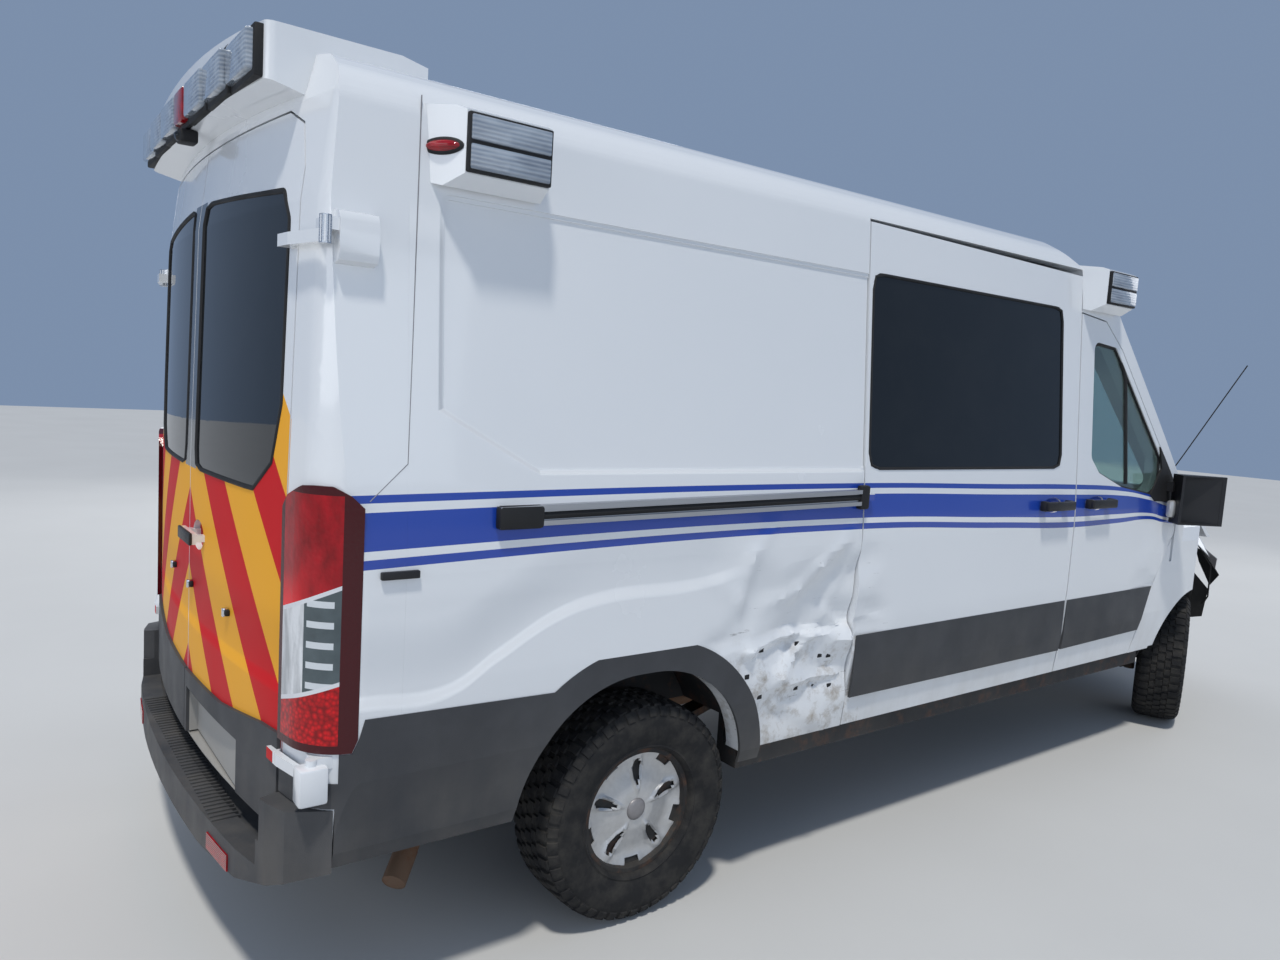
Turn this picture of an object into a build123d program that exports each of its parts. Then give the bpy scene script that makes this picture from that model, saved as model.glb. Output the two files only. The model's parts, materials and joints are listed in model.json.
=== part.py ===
"""Panel-van ambulance with a medium roof, twin rear doors and a crash-damaged right side.

The frame is +X forward, +Y to the left and +Z up, in millimetres, with the origin on the
ground under the middle of the overall length.
"""

import os
from functools import cache
from math import cos, radians, sin

from build123d import *

os.makedirs("parts", exist_ok=True)

# Overall sizes
overall_length = 5981
body_width = 2059
roof_height = 2520
mirror_reach = 1237
wheelbase = 3750
front_overhang = 1023
front_track = 1732
rear_track = 1743
front_end_x = overall_length / 2
rear_end_x = -overall_length / 2
front_axle_x = front_end_x - front_overhang
rear_axle_x = front_axle_x - wheelbase

# Wheels
tyre_diameter = 712
tyre_width = 235
rim_seat_radius = 203
wheel_radius = tyre_diameter / 2
steer_angle = 24
kingpin_y = 715

# Body walls and gaps
side_wall = 60
door_wall = 85
nose_wall = 26
door_gap = 6
fit_gap = 0.3
glass_thickness = 6
swing_clearance = 6

# Heights
rocker_low_z = 424
door_low_z = 498
belt_z = 1250
roof_seam_z = 2345
load_floor_z = 711
floor_thickness = 40
cowl_z = 1290

# Stations along the body
rear_face_x = -2920
rear_face_radius = 5600
rear_corner_radius = 135
pillar_corner_radius = 80
roof_corner_radius = 105
b_pillar_x = 579
slider_rear_x = -888
rear_door_half_width = 830
rear_door_gap = 6

half_width = body_width / 2
skin_depth = 30

# Half section of the body seen from behind: distance from the middle, height
side_section = [
    (975, rocker_low_z),
    (1000, door_low_z),
    (1022, 700),
    (half_width, 900),
    (half_width, belt_z - 60),
    (half_width - 2.4, belt_z),
    (1015, 1430),
    (945, roof_seam_z),
    (917, 2405),
    (850, 2452),
    (600, 2495),
    (0, roof_height),
]

# Front of the cab by height: height, x on the centre line, x at the sides
cab_front = [
    (300, 1990, 1722),
    (cowl_z, 1990, 1722),
    (2200, 1110, 860),
    (roof_seam_z, 860, 540),
    (2470, 560, 200),
    (2600, 200, -200),
]

# Rear face by height: height, set in from the rear face
rear_lean = [(300, 0), (1400, 0), (2100, 15), (2350, 45), (2600, 110)]


def mirrored(points):
    """Close a half outline given on the +Y side with its mirror image."""
    return points + [(-y, z) for y, z in reversed(points) if y != 0]


def box_between(x0, x1, y0, y1, z0, z1):
    """A block given by its two corners."""
    with BuildPart() as block:
        with BuildSketch(Plane.XY.offset(z0)):
            with Locations(((x0 + x1) / 2, (y0 + y1) / 2)):
                Rectangle(x1 - x0, y1 - y0)
        extrude(amount=z1 - z0)
    return block.part


def span(side, near, far):
    """The y range between two distances from the middle, on one side."""
    return sorted((side * near, side * far))


def plan_prism(outline, z0, z1, radius=0):
    """A plan outline in x and y, extruded from z0 to z1."""
    with BuildPart() as prism:
        with BuildSketch(Plane.XY.offset(z0)) as face:
            Polygon(*outline, align=None)
            if radius:
                fillet(face.vertices(), radius)
        extrude(amount=z1 - z0)
    return prism.part


def side_prism(outline, y0, y1, radius=0, grow=0):
    """A side-view outline in x and z, extruded from y0 to y1."""
    with BuildPart() as prism:
        with BuildSketch(Plane.XZ.offset(-y1)) as face:
            Polygon(*outline, align=None)
            if radius:
                fillet(face.vertices(), radius)
            if grow:
                offset(amount=grow, kind=Kind.INTERSECTION)
        extrude(amount=y1 - y0)
    return prism.part


def rear_prism(outline, x0, x1, radius=0, grow=0):
    """A rear-view outline in y and z, extruded from x0 to x1."""
    with BuildPart() as prism:
        with BuildSketch(Plane.YZ.offset(x0)) as face:
            Polygon(*outline, align=None)
            if radius:
                fillet(face.vertices(), radius)
            if grow:
                offset(amount=grow, kind=Kind.INTERSECTION)
        extrude(amount=x1 - x0)
    return prism.part


@cache
def body_section(inset):
    """The body's section run along the whole length, set in all round by a wall."""
    with BuildPart() as hull:
        foot = [(side_section[0][0], rocker_low_z - 300)] if inset > 0 else []
        with BuildSketch(Plane.YZ.offset(rear_end_x)) as section:
            Polygon(*mirrored(foot + side_section), align=None)
            if inset:
                offset(amount=-inset, kind=Kind.INTERSECTION)
            if inset < skin_depth:
                fillet([v for v in section.vertices() if roof_seam_z - skin_depth < v.Y < 2475],
                       roof_corner_radius)
        extrude(amount=overall_length)
    return hull.part


@cache
def body_hull(inset):
    """The closed van body without its nose, set in all round by a wall."""
    with BuildPart() as cab:
        for height, centre, side in cab_front:
            slant = 1.35 * inset if height > rocker_low_z else inset
            with BuildSketch(Plane.XY.offset(height)) as plan:
                with BuildLine():
                    ThreePointArc(
                        (side - slant, -half_width), (centre - slant, 0), (side - slant, half_width)
                    )
                    Polyline(
                        (side - slant, half_width), (rear_end_x, half_width),
                        (rear_end_x, -half_width), (side - slant, -half_width),
                    )
                make_face()
                corners = plan.vertices().group_by(Axis.X)[-1]
                fillet(corners, pillar_corner_radius - inset / 4)
        loft(ruled=True)
    with BuildPart() as tail:
        for height, lean in rear_lean:
            face_x = rear_face_x + lean + inset
            sag = half_width ** 2 / (2 * rear_face_radius)
            with BuildSketch(Plane.XY.offset(height)) as plan:
                with BuildLine():
                    ThreePointArc((face_x + sag, -half_width), (face_x, 0), (face_x + sag, half_width))
                    Polyline(
                        (face_x + sag, half_width), (front_end_x, half_width),
                        (front_end_x, -half_width), (face_x + sag, -half_width),
                    )
                make_face()
                corners = plan.vertices().group_by(Axis.X)[0]
                fillet(corners, rear_corner_radius - inset / 2)
        loft(ruled=True)
    return body_section(inset) & cab.part & tail.part


body_outer = body_hull(0)
body_inner = body_hull(side_wall)
door_inner = body_hull(door_wall)
pillar_outer = body_hull(door_wall + 8)
pillar_inner = body_hull(door_wall + 70)
body_shell = body_outer - body_inner
door_shell = body_outer - door_inner
pillar_shell = pillar_outer - pillar_inner

# Side view of the front door, the sliding door and their windows
door_front_x = 1600
front_door_outline = [
    (b_pillar_x + 4, door_low_z), (b_pillar_x + 4, 2150), (800, 2130), (960, 2010), (1490, 1440),
    (door_front_x, 1310), (door_front_x, 1120), (1500, 1000), (1420, 850), (1340, 640),
    (1300, door_low_z),
]
door_window_outline = [
    (700, 2035), (705, 1500), (780, 1430), (1000, 1360), (1300, 1318), (1390, 1360),
    (1400, 1500), (905, 2020),
]
slider_outline = [
    (slider_rear_x, door_low_z), (slider_rear_x, 2335), (b_pillar_x - 4, 2315),
    (b_pillar_x - 4, door_low_z),
]
side_window_outline = [
    (slider_rear_x + 20, 1455), (slider_rear_x + 20, 2160), (b_pillar_x - 164, 2160),
    (b_pillar_x - 139, 1455),
]
recess_outline = [
    (-2538, 2150), (-2538, 1640), (-2494, 1560), (-2364, 1484), (-2242, 1446),
    (slider_rear_x + 12, 1448), (slider_rear_x + 12, 2150),
]

# Rear doors and their windows seen from behind, left leaf, y then z
rear_door_low_z = 505
rear_door_top_z = 2330
rear_door_outline = [
    (rear_door_gap / 2, rear_door_low_z), (rear_door_half_width, rear_door_low_z),
    (rear_door_half_width, 2180), (790, 2290), (700, rear_door_top_z),
    (rear_door_gap / 2, rear_door_top_z),
]
rear_window_outline = [
    (70, 1365), (620, 1365), (740, 1450), (785, 1600), (785, 2060), (740, 2140), (70, 2170),
]

# Wheel arches: middle of the opening, its height, its radius and the stretch between its two arcs
rear_arch_x = rear_axle_x - 50
rear_arch_z = 431
rear_arch_radius = 403
rear_arch_stretch = 60
arch_trim_width = 92
front_arch_radius = 430
liner_radius = 470
liner_wall = 8


def arch_prism(x, z, radius, stretch, y0, y1):
    """A wheel arch: two arcs joined by a short flat, open at the bottom."""
    with BuildPart() as arch:
        with BuildSketch(Plane.XZ.offset(-y1)):
            for end in (-1, 1):
                with Locations((x + end * stretch / 2, z)):
                    Circle(radius)
            with Locations((x, z - radius / 2)):
                Rectangle(2 * radius + stretch, radius)
            if stretch:
                with Locations((x, z)):
                    Rectangle(stretch, 2 * radius)
        extrude(amount=y1 - y0)
    return arch.part


def named(part, name):
    """Label a finished piece and write its STEP file."""
    part.label = name
    export_step(part, f"parts/{name}.step")


# Roof panel with the rails over the side doors and its pressed grooves
roof_groove_depth = 6
roof_groove_width = 70
roof_groove_spacing = 280
roof_groove_rear_x = -2330
roof_groove_front_x = 150
with BuildPart() as roof_panel:
    add(body_shell)
    add(box_between(rear_end_x, front_end_x, -half_width, half_width, roof_seam_z, 2700),
        mode=Mode.INTERSECT)
    for place in (-1.5, -0.5, 0.5, 1.5):
        middle = place * roof_groove_spacing
        add(box_between(roof_groove_rear_x, roof_groove_front_x, middle - roof_groove_width / 2,
                        middle + roof_groove_width / 2, roof_seam_z, 2700)
            - body_hull(roof_groove_depth), mode=Mode.SUBTRACT)
named(roof_panel.part, "roof_panel")

# Rear door hinges: their axis, their heights and the blocks on the corner posts
rear_hinge_x = -2835
rear_hinge_y = 1000
rear_hinge_radius = 14
rear_hinge_heights = (1985, 690)
rear_hinge_height = 60
hinge_cover_outline = [(930, 1930), (1004, 1950), (1012, 1970), (1012, 2040), (1000, 2062), (930, 2078)]
hinge_cover_rear_x = rear_hinge_x + 30
hinge_cover_length = 95


def hinge_blocks(side):
    """The fixed halves of one rear door's hinges."""
    with BuildPart() as blocks:
        for height in rear_hinge_heights:
            with BuildSketch(Plane.XY.offset(height + rear_hinge_height / 2 + fit_gap)):
                with Locations((rear_hinge_x, side * rear_hinge_y)):
                    Circle(rear_hinge_radius)
                with Locations((rear_hinge_x + 30, side * (rear_hinge_y - 32))):
                    Rectangle(60, 80)
            extrude(amount=rear_hinge_height / 2)
        add(rear_prism([(side * y, z) for y, z in hinge_cover_outline], hinge_cover_rear_x,
                       hinge_cover_rear_x + hinge_cover_length) - body_outer)
    return blocks.part


# Left body side: one long panel with a fixed window
rear_opening = rear_prism(
    mirrored([(y, z) for y, z in rear_door_outline[1:]]), rear_end_x - 10, rear_face_x + 260,
    grow=door_gap,
)
left_half = box_between(rear_end_x, front_end_x, 0, half_width, door_low_z - 2, roof_seam_z)
right_half = box_between(rear_end_x, front_end_x, -half_width, 0, door_low_z - 2, roof_seam_z)
behind_b_pillar = box_between(rear_end_x, b_pillar_x - 4, -half_width, half_width, 300, 2700)
behind_slider = box_between(rear_end_x, slider_rear_x - door_gap, -half_width, half_width, 300, 2700)
# Pressed recess of the rear side panels: depth, distance in from its outline
recess_steps = [(4, 0), (8, 12)]
side_recess = [
    side_prism(recess_outline, -half_width - 10, half_width + 10, radius=28, grow=-shrink)
    - body_hull(depth)
    for depth, shrink in recess_steps
]

with BuildPart() as body_side_left:
    add(body_shell)
    add(left_half, mode=Mode.INTERSECT)
    add(behind_b_pillar, mode=Mode.INTERSECT)
    add(rear_opening, mode=Mode.SUBTRACT)
    add(side_prism(side_window_outline, 800, half_width + 10, radius=45), mode=Mode.SUBTRACT)
    add(arch_prism(rear_arch_x, rear_arch_z, rear_arch_radius, rear_arch_stretch, 800, half_width + 10),
        mode=Mode.SUBTRACT)
    for pressing in side_recess:
        add(pressing, mode=Mode.SUBTRACT)
    add(hinge_blocks(1))
named(body_side_left.part, "body_side_left")

# Right body side: the quarter panel behind the sliding door
with BuildPart() as body_side_right:
    add(body_shell)
    add(right_half, mode=Mode.INTERSECT)
    add(behind_slider, mode=Mode.INTERSECT)
    add(rear_opening, mode=Mode.SUBTRACT)
    add(arch_prism(rear_arch_x, rear_arch_z, rear_arch_radius, rear_arch_stretch,
                   -half_width - 10, -800), mode=Mode.SUBTRACT)
    for pressing in side_recess:
        add(pressing, mode=Mode.SUBTRACT)
    add(hinge_blocks(-1))
named(body_side_right.part, "body_side_right")

# Windscreen and the cab frame around it: pillars, header, cowl, centre hoop and partition
windscreen_outline = [(-820, 1330), (820, 1330), (700, 2230), (-700, 2230)]
windscreen_cut = rear_prism(windscreen_outline, 1000, front_end_x, radius=70)
front_of_cab = box_between(b_pillar_x + 4, front_end_x, -half_width, half_width, door_low_z - 2,
                           roof_seam_z)
door_cuts = [
    side_prism(front_door_outline, 500, half_width + 10, grow=door_gap),
    side_prism(front_door_outline, -half_width - 10, -500, grow=door_gap),
]
skin_inner = body_hull(nose_wall + fit_gap)
wheel_boxes = [
    arch_prism(front_axle_x, wheel_radius, liner_radius + liner_wall + 1, 0, 500, half_width + 10),
    arch_prism(front_axle_x, wheel_radius, liner_radius + liner_wall + 1, 0, -half_width - 10, -500),
]
hoop_rear_x = b_pillar_x - 40
hoop_front_x = b_pillar_x + 60
partition_thickness = 30
firewall_x = 1480
cowl_plate_z = 1190
hood_hinge_x = 2100
hood_hinge_z = 1215
hood_barrel_radius = 8
hinge_inset = 10
hinge_knuckle_height = 28
hinge_heights = (1150, 1260)
hinge_x = door_front_x - hinge_inset
hinge_y = half_width - hinge_inset
with BuildPart() as cab_frame:
    add(body_shell)
    add(front_of_cab, mode=Mode.INTERSECT)
    add(windscreen_cut, mode=Mode.SUBTRACT)
    add(box_between(1000, front_end_x, -900, 900, 300, cowl_z - 60), mode=Mode.SUBTRACT)
    add(pillar_shell & box_between(hoop_rear_x, hoop_front_x, -half_width, half_width,
                                   load_floor_z, 2700))
    add((body_inner - pillar_inner) & box_between(b_pillar_x + 4, hoop_front_x, -half_width,
                                                  half_width, 2200, 2700))
    add(pillar_outer & box_between(hoop_rear_x, hoop_rear_x + partition_thickness, -half_width,
                                   half_width, load_floor_z, 2700))
    add(box_between(hoop_rear_x - 10, hoop_rear_x + 60, -330, 330, 1350, 1900), mode=Mode.SUBTRACT)
    add(pillar_outer & box_between(firewall_x, firewall_x + 25, -half_width, half_width,
                                   load_floor_z, cowl_z))
    add(box_between(firewall_x, hood_hinge_x + hood_barrel_radius, -700, 700, cowl_plate_z - 25,
                    cowl_plate_z))
    add(body_outer & box_between(firewall_x + 200, 1995, -700, 700, cowl_plate_z - 25, cowl_z))
    add(body_hull(40) & box_between(firewall_x + 25, 1995, -699, 699, cowl_plate_z, cowl_z),
        mode=Mode.SUBTRACT)
    for side in (-1, 1):
        low, high = span(side, 640, 660)
        add(box_between(hood_hinge_x - hood_barrel_radius, hood_hinge_x + hood_barrel_radius, low, high,
                        cowl_plate_z - 5, hood_hinge_z))
        with BuildSketch(Plane.XZ.offset(-high)):
            with Locations((hood_hinge_x, hood_hinge_z)):
                Circle(hood_barrel_radius)
        extrude(amount=high - low)
    for cut in door_cuts + wheel_boxes:
        add(cut, mode=Mode.SUBTRACT)
    add((body_outer - skin_inner) & box_between(1000, front_end_x, -half_width, half_width, 300,
                                                cowl_z)
        - box_between(1000, front_end_x, -900, 900, 300, cowl_z), mode=Mode.SUBTRACT)
    for side in (-1, 1):
        for height in hinge_heights:
            with BuildSketch(Plane.XY.offset(height)):
                with Locations((hinge_x, side * hinge_y)):
                    Circle(hinge_inset - fit_gap)
                with Locations((hinge_x + 2, side * (hinge_y - 30))):
                    Rectangle(14, 60)
                with Locations((hinge_x + 40, side * (hinge_y - 45))):
                    Rectangle(90, 30)
            extrude(amount=hinge_knuckle_height)
named(cab_frame.part, "cab_frame")

with BuildPart() as windscreen:
    add(body_outer - body_hull(glass_thickness))
    add(rear_prism(windscreen_outline, 1000, front_end_x, radius=70, grow=-fit_gap),
        mode=Mode.INTERSECT)
named(windscreen.part, "windscreen")

# Front doors with their window openings, hinge notches and glass
door_glass_recess = 13
bonded_glass_recess = 3
door_glass_shell = body_hull(door_glass_recess) - body_hull(door_glass_recess + glass_thickness)
bonded_glass_shell = (body_hull(bonded_glass_recess)
                      - body_hull(bonded_glass_recess + glass_thickness))
# Door handles: a bar on two posts in front of a shallow cup
handle_height = 34
handle_reach = 42
handle_bar = 16
handle_post = 26
handle_cup_depth = 14


def side_handle(x0, x1, z, side):
    """One handle's bar with its two posts, on the side of the body."""
    with BuildPart() as handle:
        low, high = span(side, half_width + handle_reach - handle_bar, half_width + handle_reach)
        add(side_prism([(x0, z - handle_height / 2), (x1, z - handle_height / 2),
                        (x1, z + handle_height / 2), (x0, z + handle_height / 2)], low, high, radius=12))
        low, high = span(side, half_width - handle_cup_depth - 2, half_width + handle_reach - 2)
        for post_x in (x0 + handle_post, x1 - handle_post):
            add(box_between(post_x - handle_post / 2, post_x + handle_post / 2, low, high,
                            z - handle_height / 2 + 6, z + handle_height / 2 - 6))
    return handle.part


def side_cup(x0, x1, z, side):
    """The hollow behind one handle."""
    with BuildPart() as cup:
        with BuildSketch(Plane.XZ.offset(-span(side, half_width - handle_cup_depth, half_width + 10)[1])):
            with Locations(((x0 + x1) / 2, z)):
                Ellipse((x1 - x0) / 2 - handle_post - 10, handle_height)
        extrude(amount=handle_cup_depth + 10)
    return cup.part


# Dark mouldings on the doors: distance from the ground of their lower and upper edges
clad_thickness = 10
clad_outer = body_hull(-clad_thickness)
clad_skin = clad_outer - body_outer
moulding_low_z = 606
moulding_high_z = 843
moulding_margin = 10
for name, side in (("left", 1), ("right", -1)):
    y_low, y_high = sorted((side * 500, side * (half_width + 10)))
    outline_solid = side_prism(front_door_outline, y_low, y_high)
    window_hole = side_prism(door_window_outline, y_low, y_high, radius=40)
    window_pane = side_prism(door_window_outline, y_low, y_high, radius=40, grow=-fit_gap)
    with BuildPart() as door:
        add(door_shell)
        add(outline_solid, mode=Mode.INTERSECT)
        add(window_hole, mode=Mode.SUBTRACT)
        for height in hinge_heights:
            add(box_between(hinge_x - 15, hinge_x + 20, *sorted((side * 900, side * 1040)),
                            height - fit_gap, height + hinge_knuckle_height + fit_gap),
                mode=Mode.SUBTRACT)
        with BuildSketch(Plane.XY.offset(1000)):
            with Locations((hinge_x + 10, side * (hinge_y + 10))):
                Rectangle(20, 20)
            with Locations((hinge_x, side * hinge_y)):
                Circle(hinge_inset, mode=Mode.SUBTRACT)
        extrude(amount=400, mode=Mode.SUBTRACT)
        add(side_cup(658, 871, 1290, side), mode=Mode.SUBTRACT)
        add(side_handle(658, 871, 1290, side))
    named(door.part, "door_front_" + name)
    with BuildPart() as door_glass:
        add(door_glass_shell)
        add(window_pane, mode=Mode.INTERSECT)
    named(door_glass.part, "door_glass_" + name)
    with BuildPart() as door_cladding:
        add(clad_skin)
        add(side_prism([(b_pillar_x + moulding_margin, moulding_low_z + 3),
                        (b_pillar_x + moulding_margin, moulding_high_z),
                        (1411, moulding_high_z), (1323, moulding_low_z + 15)], y_low, y_high),
            mode=Mode.INTERSECT)
    named(door_cladding.part, "door_cladding_" + name)

# Sliding door, fixed shut, and the glass of the two side windows
roller_z = 1355
rail_front_x = slider_rear_x - 14
with BuildPart() as sliding_door:
    add(door_shell)
    add(side_prism(slider_outline, -half_width - 10, -500), mode=Mode.INTERSECT)
    add(side_prism(side_window_outline, -half_width - 10, -500, radius=45), mode=Mode.SUBTRACT)
    add(box_between(rail_front_x + fit_gap, slider_rear_x + 30, -half_width - 12, -half_width + 20,
                    roller_z - 12, roller_z + 12) - body_shell)
    add(side_cup(276, 492, 1290, -1), mode=Mode.SUBTRACT)
    add(side_handle(276, 492, 1290, -1))
named(sliding_door.part, "sliding_door")

with BuildPart() as side_glass:
    add(bonded_glass_shell)
    add(side_prism(side_window_outline, -half_width, half_width, radius=45, grow=-fit_gap),
        mode=Mode.INTERSECT)
named(side_glass.part, "side_glass")

# Slide rail on the right quarter panel, falling a little to the rear, with its channel
rail_rear_x = -2372
rail_height = 56
rail_fall = 21
rail_reach = 16
channel_height = 28


def rail_band(height, x0, y0, y1):
    """A band along the rail's line, with this height."""
    return side_prism([(x0, roller_z - rail_fall - height / 2), (rail_front_x, roller_z - height / 2),
                       (rail_front_x, roller_z + height / 2), (x0, roller_z - rail_fall + height / 2)],
                      y0, y1)


with BuildPart() as slide_rail:
    add(rail_band(rail_height, rail_rear_x, -half_width - rail_reach, -half_width + 30))
    add(rail_band(channel_height, rail_rear_x + 40, -half_width - rail_reach - 1, -half_width - 6),
        mode=Mode.SUBTRACT)
    add(body_outer, mode=Mode.SUBTRACT)
named(slide_rail.part, "slide_rail")

# Rear doors, hinged at the outer corners, and their glass
plate_door = "right"
plate_y = 280
plate_hole_z = 625
plate_floor_x = -2893
plate_recess_y = (30, 555)
plate_recess_top_z = 655
rear_clad_top = [(3, 707), (402, 716), (711, 757), (828, 762)]
rear_handle_y = (40, 200)
rear_handle_z = 1162
plate_hole_spacing = 177.8
plate_hole_radius = 3.2
plate_hole_depth = 20
plate_recess = box_between(rear_end_x - 20, plate_floor_x, -plate_recess_y[1], -plate_recess_y[0],
                           rear_door_low_z - 10, plate_recess_top_z)
# Hinge arm round the corner post: x from the hinge axis, distance from the middle
rear_hinge_arm = [
    (-14, 1000), (-2, 1000), (-20, 905), (-31, 836), (-5, 825), (-5, 794), (-50, 794), (-45, 860),
]
for name, side in (("left", 1), ("right", -1)):
    leaf = rear_prism([(side * y, z) for y, z in rear_door_outline], rear_end_x, rear_face_x + 400)
    hole = rear_prism([(side * y, z) for y, z in rear_window_outline], rear_end_x,
                      rear_face_x + 400, radius=40)
    pane = rear_prism([(side * y, z) for y, z in rear_window_outline], rear_end_x,
                      rear_face_x + 400, radius=40, grow=-0.8)
    with BuildPart() as rear_door:
        add(door_shell)
        add(leaf, mode=Mode.INTERSECT)
        add(hole, mode=Mode.SUBTRACT)
        for height in rear_hinge_heights:
            with BuildSketch(Plane.XY.offset(height)):
                with Locations((rear_hinge_x, side * rear_hinge_y)):
                    Circle(rear_hinge_radius)
                Polygon(*[(rear_hinge_x + dx, side * y) for dx, y in rear_hinge_arm], align=None)
            extrude(amount=rear_hinge_height / 2)
        if name == plate_door:
            add(plate_recess, mode=Mode.SUBTRACT)
            with BuildSketch(Plane.YZ.offset(plate_floor_x)):
                for place in (-1, 1):
                    with Locations((side * plate_y + place * plate_hole_spacing / 2, plate_hole_z)):
                        Circle(plate_hole_radius)
            extrude(amount=plate_hole_depth, mode=Mode.SUBTRACT)
            with BuildSketch(Plane.YZ.offset(rear_end_x)):
                with Locations((side * (rear_handle_y[0] + rear_handle_y[1]) / 2, rear_handle_z)):
                    Ellipse(66, 46)
            extrude(amount=rear_face_x + handle_cup_depth + 6 - rear_end_x, mode=Mode.SUBTRACT)
            low, high = span(side, *rear_handle_y)
            bar_x = rear_face_x - handle_reach + 6
            add(box_between(bar_x, bar_x + handle_bar, low, high, rear_handle_z - handle_height / 2,
                            rear_handle_z + handle_height / 2))
            for post_y in (low + handle_post / 2, high - handle_post / 2):
                add(box_between(bar_x, rear_face_x + handle_cup_depth + 12, post_y - handle_post / 2,
                                post_y + handle_post / 2, rear_handle_z - 10, rear_handle_z + 10))
    named(rear_door.part, "rear_door_" + name)
    with BuildPart() as rear_cladding:
        add(clad_skin)
        add(rear_prism([(side * y, z) for y, z in rear_clad_top]
                       + [(side * 828, rear_door_low_z), (side * 3, rear_door_low_z)],
                       rear_end_x, rear_face_x + 400), mode=Mode.INTERSECT)
        if name == plate_door:
            add(plate_recess, mode=Mode.SUBTRACT)
        add(rear_door.part, mode=Mode.SUBTRACT)
    named(rear_cladding.part, "rear_cladding_" + name)
    with BuildPart() as rear_glass:
        add(bonded_glass_shell)
        add(pane, mode=Mode.INTERSECT)
    named(rear_glass.part, "rear_glass_" + name)

# Nose: a closed hull from its front section, its side view and its plan
nose_section = [
    (975, rocker_low_z), (1000, door_low_z), (1022, 700), (half_width, 900), (half_width, 1060),
    (1012, 1130), (960, 1190), (860, 1230), (600, 1262), (0, 1300),
]
nose_rear_x = 1300
nose_side = [
    (1900, 1330), (2300, 1228), (2560, 1120), (2740, 990), (2830, 870),
    (2860, 700), (2860, 100),
]
nose_front_x = 2880
nose_corner_x = 2690
nose_corner_y = 905
hood_rear_x = 2080
hood_front_x = 2790
hood_half_width = 760
grille_half_width = 470
grille_low_z = 640
grille_high_z = 960
lamp_rear_x = 2440
lamp_inner_y = 560
headlamp_low_z = 820


def nose_hull(inset):
    """The closed nose, set in all round by a wall."""
    back_x = nose_rear_x - 4 * inset
    foot = [(nose_section[0][0], rocker_low_z - 300)] if inset > 0 else []
    with BuildPart() as section:
        with BuildSketch(Plane.YZ.offset(back_x)):
            Polygon(*mirrored(foot + nose_section), align=None)
            if inset:
                offset(amount=-inset, kind=Kind.INTERSECTION)
        extrude(amount=front_end_x - back_x)
    with BuildPart() as profile:
        with BuildSketch(Plane.XZ):
            Polygon((back_x, 100), (back_x, 1400), *nose_side, align=None)
            if inset:
                offset(amount=-inset, kind=Kind.INTERSECTION)
        extrude(amount=half_width, both=True)
    with BuildPart() as plan:
        with BuildSketch(Plane.XY):
            with BuildLine():
                ThreePointArc((nose_corner_x, -nose_corner_y), (nose_front_x, 0),
                              (nose_corner_x, nose_corner_y))
                Polyline((nose_corner_x, nose_corner_y), (2560, 985), (2330, half_width),
                         (back_x, half_width), (back_x, -half_width), (2330, -half_width), (2560, -985),
                         (nose_corner_x, -nose_corner_y))
            make_face()
            if inset:
                offset(amount=-inset, kind=Kind.INTERSECTION)
        extrude(amount=2000)
    return section.part & profile.part & plan.part


nose_outer = nose_hull(0)
nose_inner = nose_hull(nose_wall)
nose_shell = nose_outer - nose_inner
hood_cut = [(1700, 1400), (1700, 1180), (2500, 1060), (2640, 1010), (2700, 990), (2790, 990), (2950, 1300)]
hood_plan = box_between(hood_rear_x, hood_front_x, -hood_half_width, hood_half_width, 900, 1500)

# What the crash tore off the right front corner, above and at the bumper, in plan
upper_tear = [(1900, -1030), (2100, -950), (2350, -850), (2728, -700), (2900, -640), (3100, -560)]
lower_tear = [(1723, -1030), (1918, -950), (2162, -850), (2528, -700), (3015, -500), (3100, -470)]
tear_corners = [(3100, -1300), (1700, -1300)]
bumper_high_z = 640
torn_corner = (plan_prism(upper_tear + tear_corners, bumper_high_z, 1400)
               + plan_prism(lower_tear + tear_corners, 200, bumper_high_z))
headlamp_outline = [
    (lamp_rear_x, 1128), (lamp_rear_x + 60, 960), (2700, headlamp_low_z), (2900, headlamp_low_z),
    (2900, 960), (2740, 1010), (2560, 1090),
]

# Hood, hinged at its rear edge
with BuildPart() as hood:
    add(nose_shell)
    add(side_prism(hood_cut, -half_width, half_width), mode=Mode.INTERSECT)
    add(hood_plan, mode=Mode.INTERSECT)
    for side in (-1, 1):
        for y in (630, 666):
            low, high = sorted((side * y - 5.7, side * y + 5.7))
            with BuildSketch(Plane.XZ.offset(-high)):
                with Locations((hood_hinge_x, hood_hinge_z)):
                    Circle(hood_barrel_radius)
                with Locations((hood_hinge_x, hood_hinge_z + 13)):
                    Rectangle(2 * hood_barrel_radius, 26)
            extrude(amount=high - low)
named(hood.part, "hood")

# Headlamp at the left nose corner: the right one is missing
lamp_block = (
    side_prism(headlamp_outline, lamp_inner_y, half_width)
    + side_prism(headlamp_outline, -half_width, -lamp_inner_y)
)
with BuildPart() as headlamps:
    add(nose_outer - nose_hull(nose_wall + 30))
    add(side_prism(headlamp_outline, lamp_inner_y, half_width), mode=Mode.INTERSECT)
    add(side_prism(hood_cut, -half_width, half_width, grow=door_gap)
        & box_between(hood_rear_x - door_gap, hood_front_x + door_gap, -hood_half_width - door_gap,
                      hood_half_width + door_gap, 900, 1500), mode=Mode.SUBTRACT)
named(headlamps.part, "headlamps")

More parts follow.
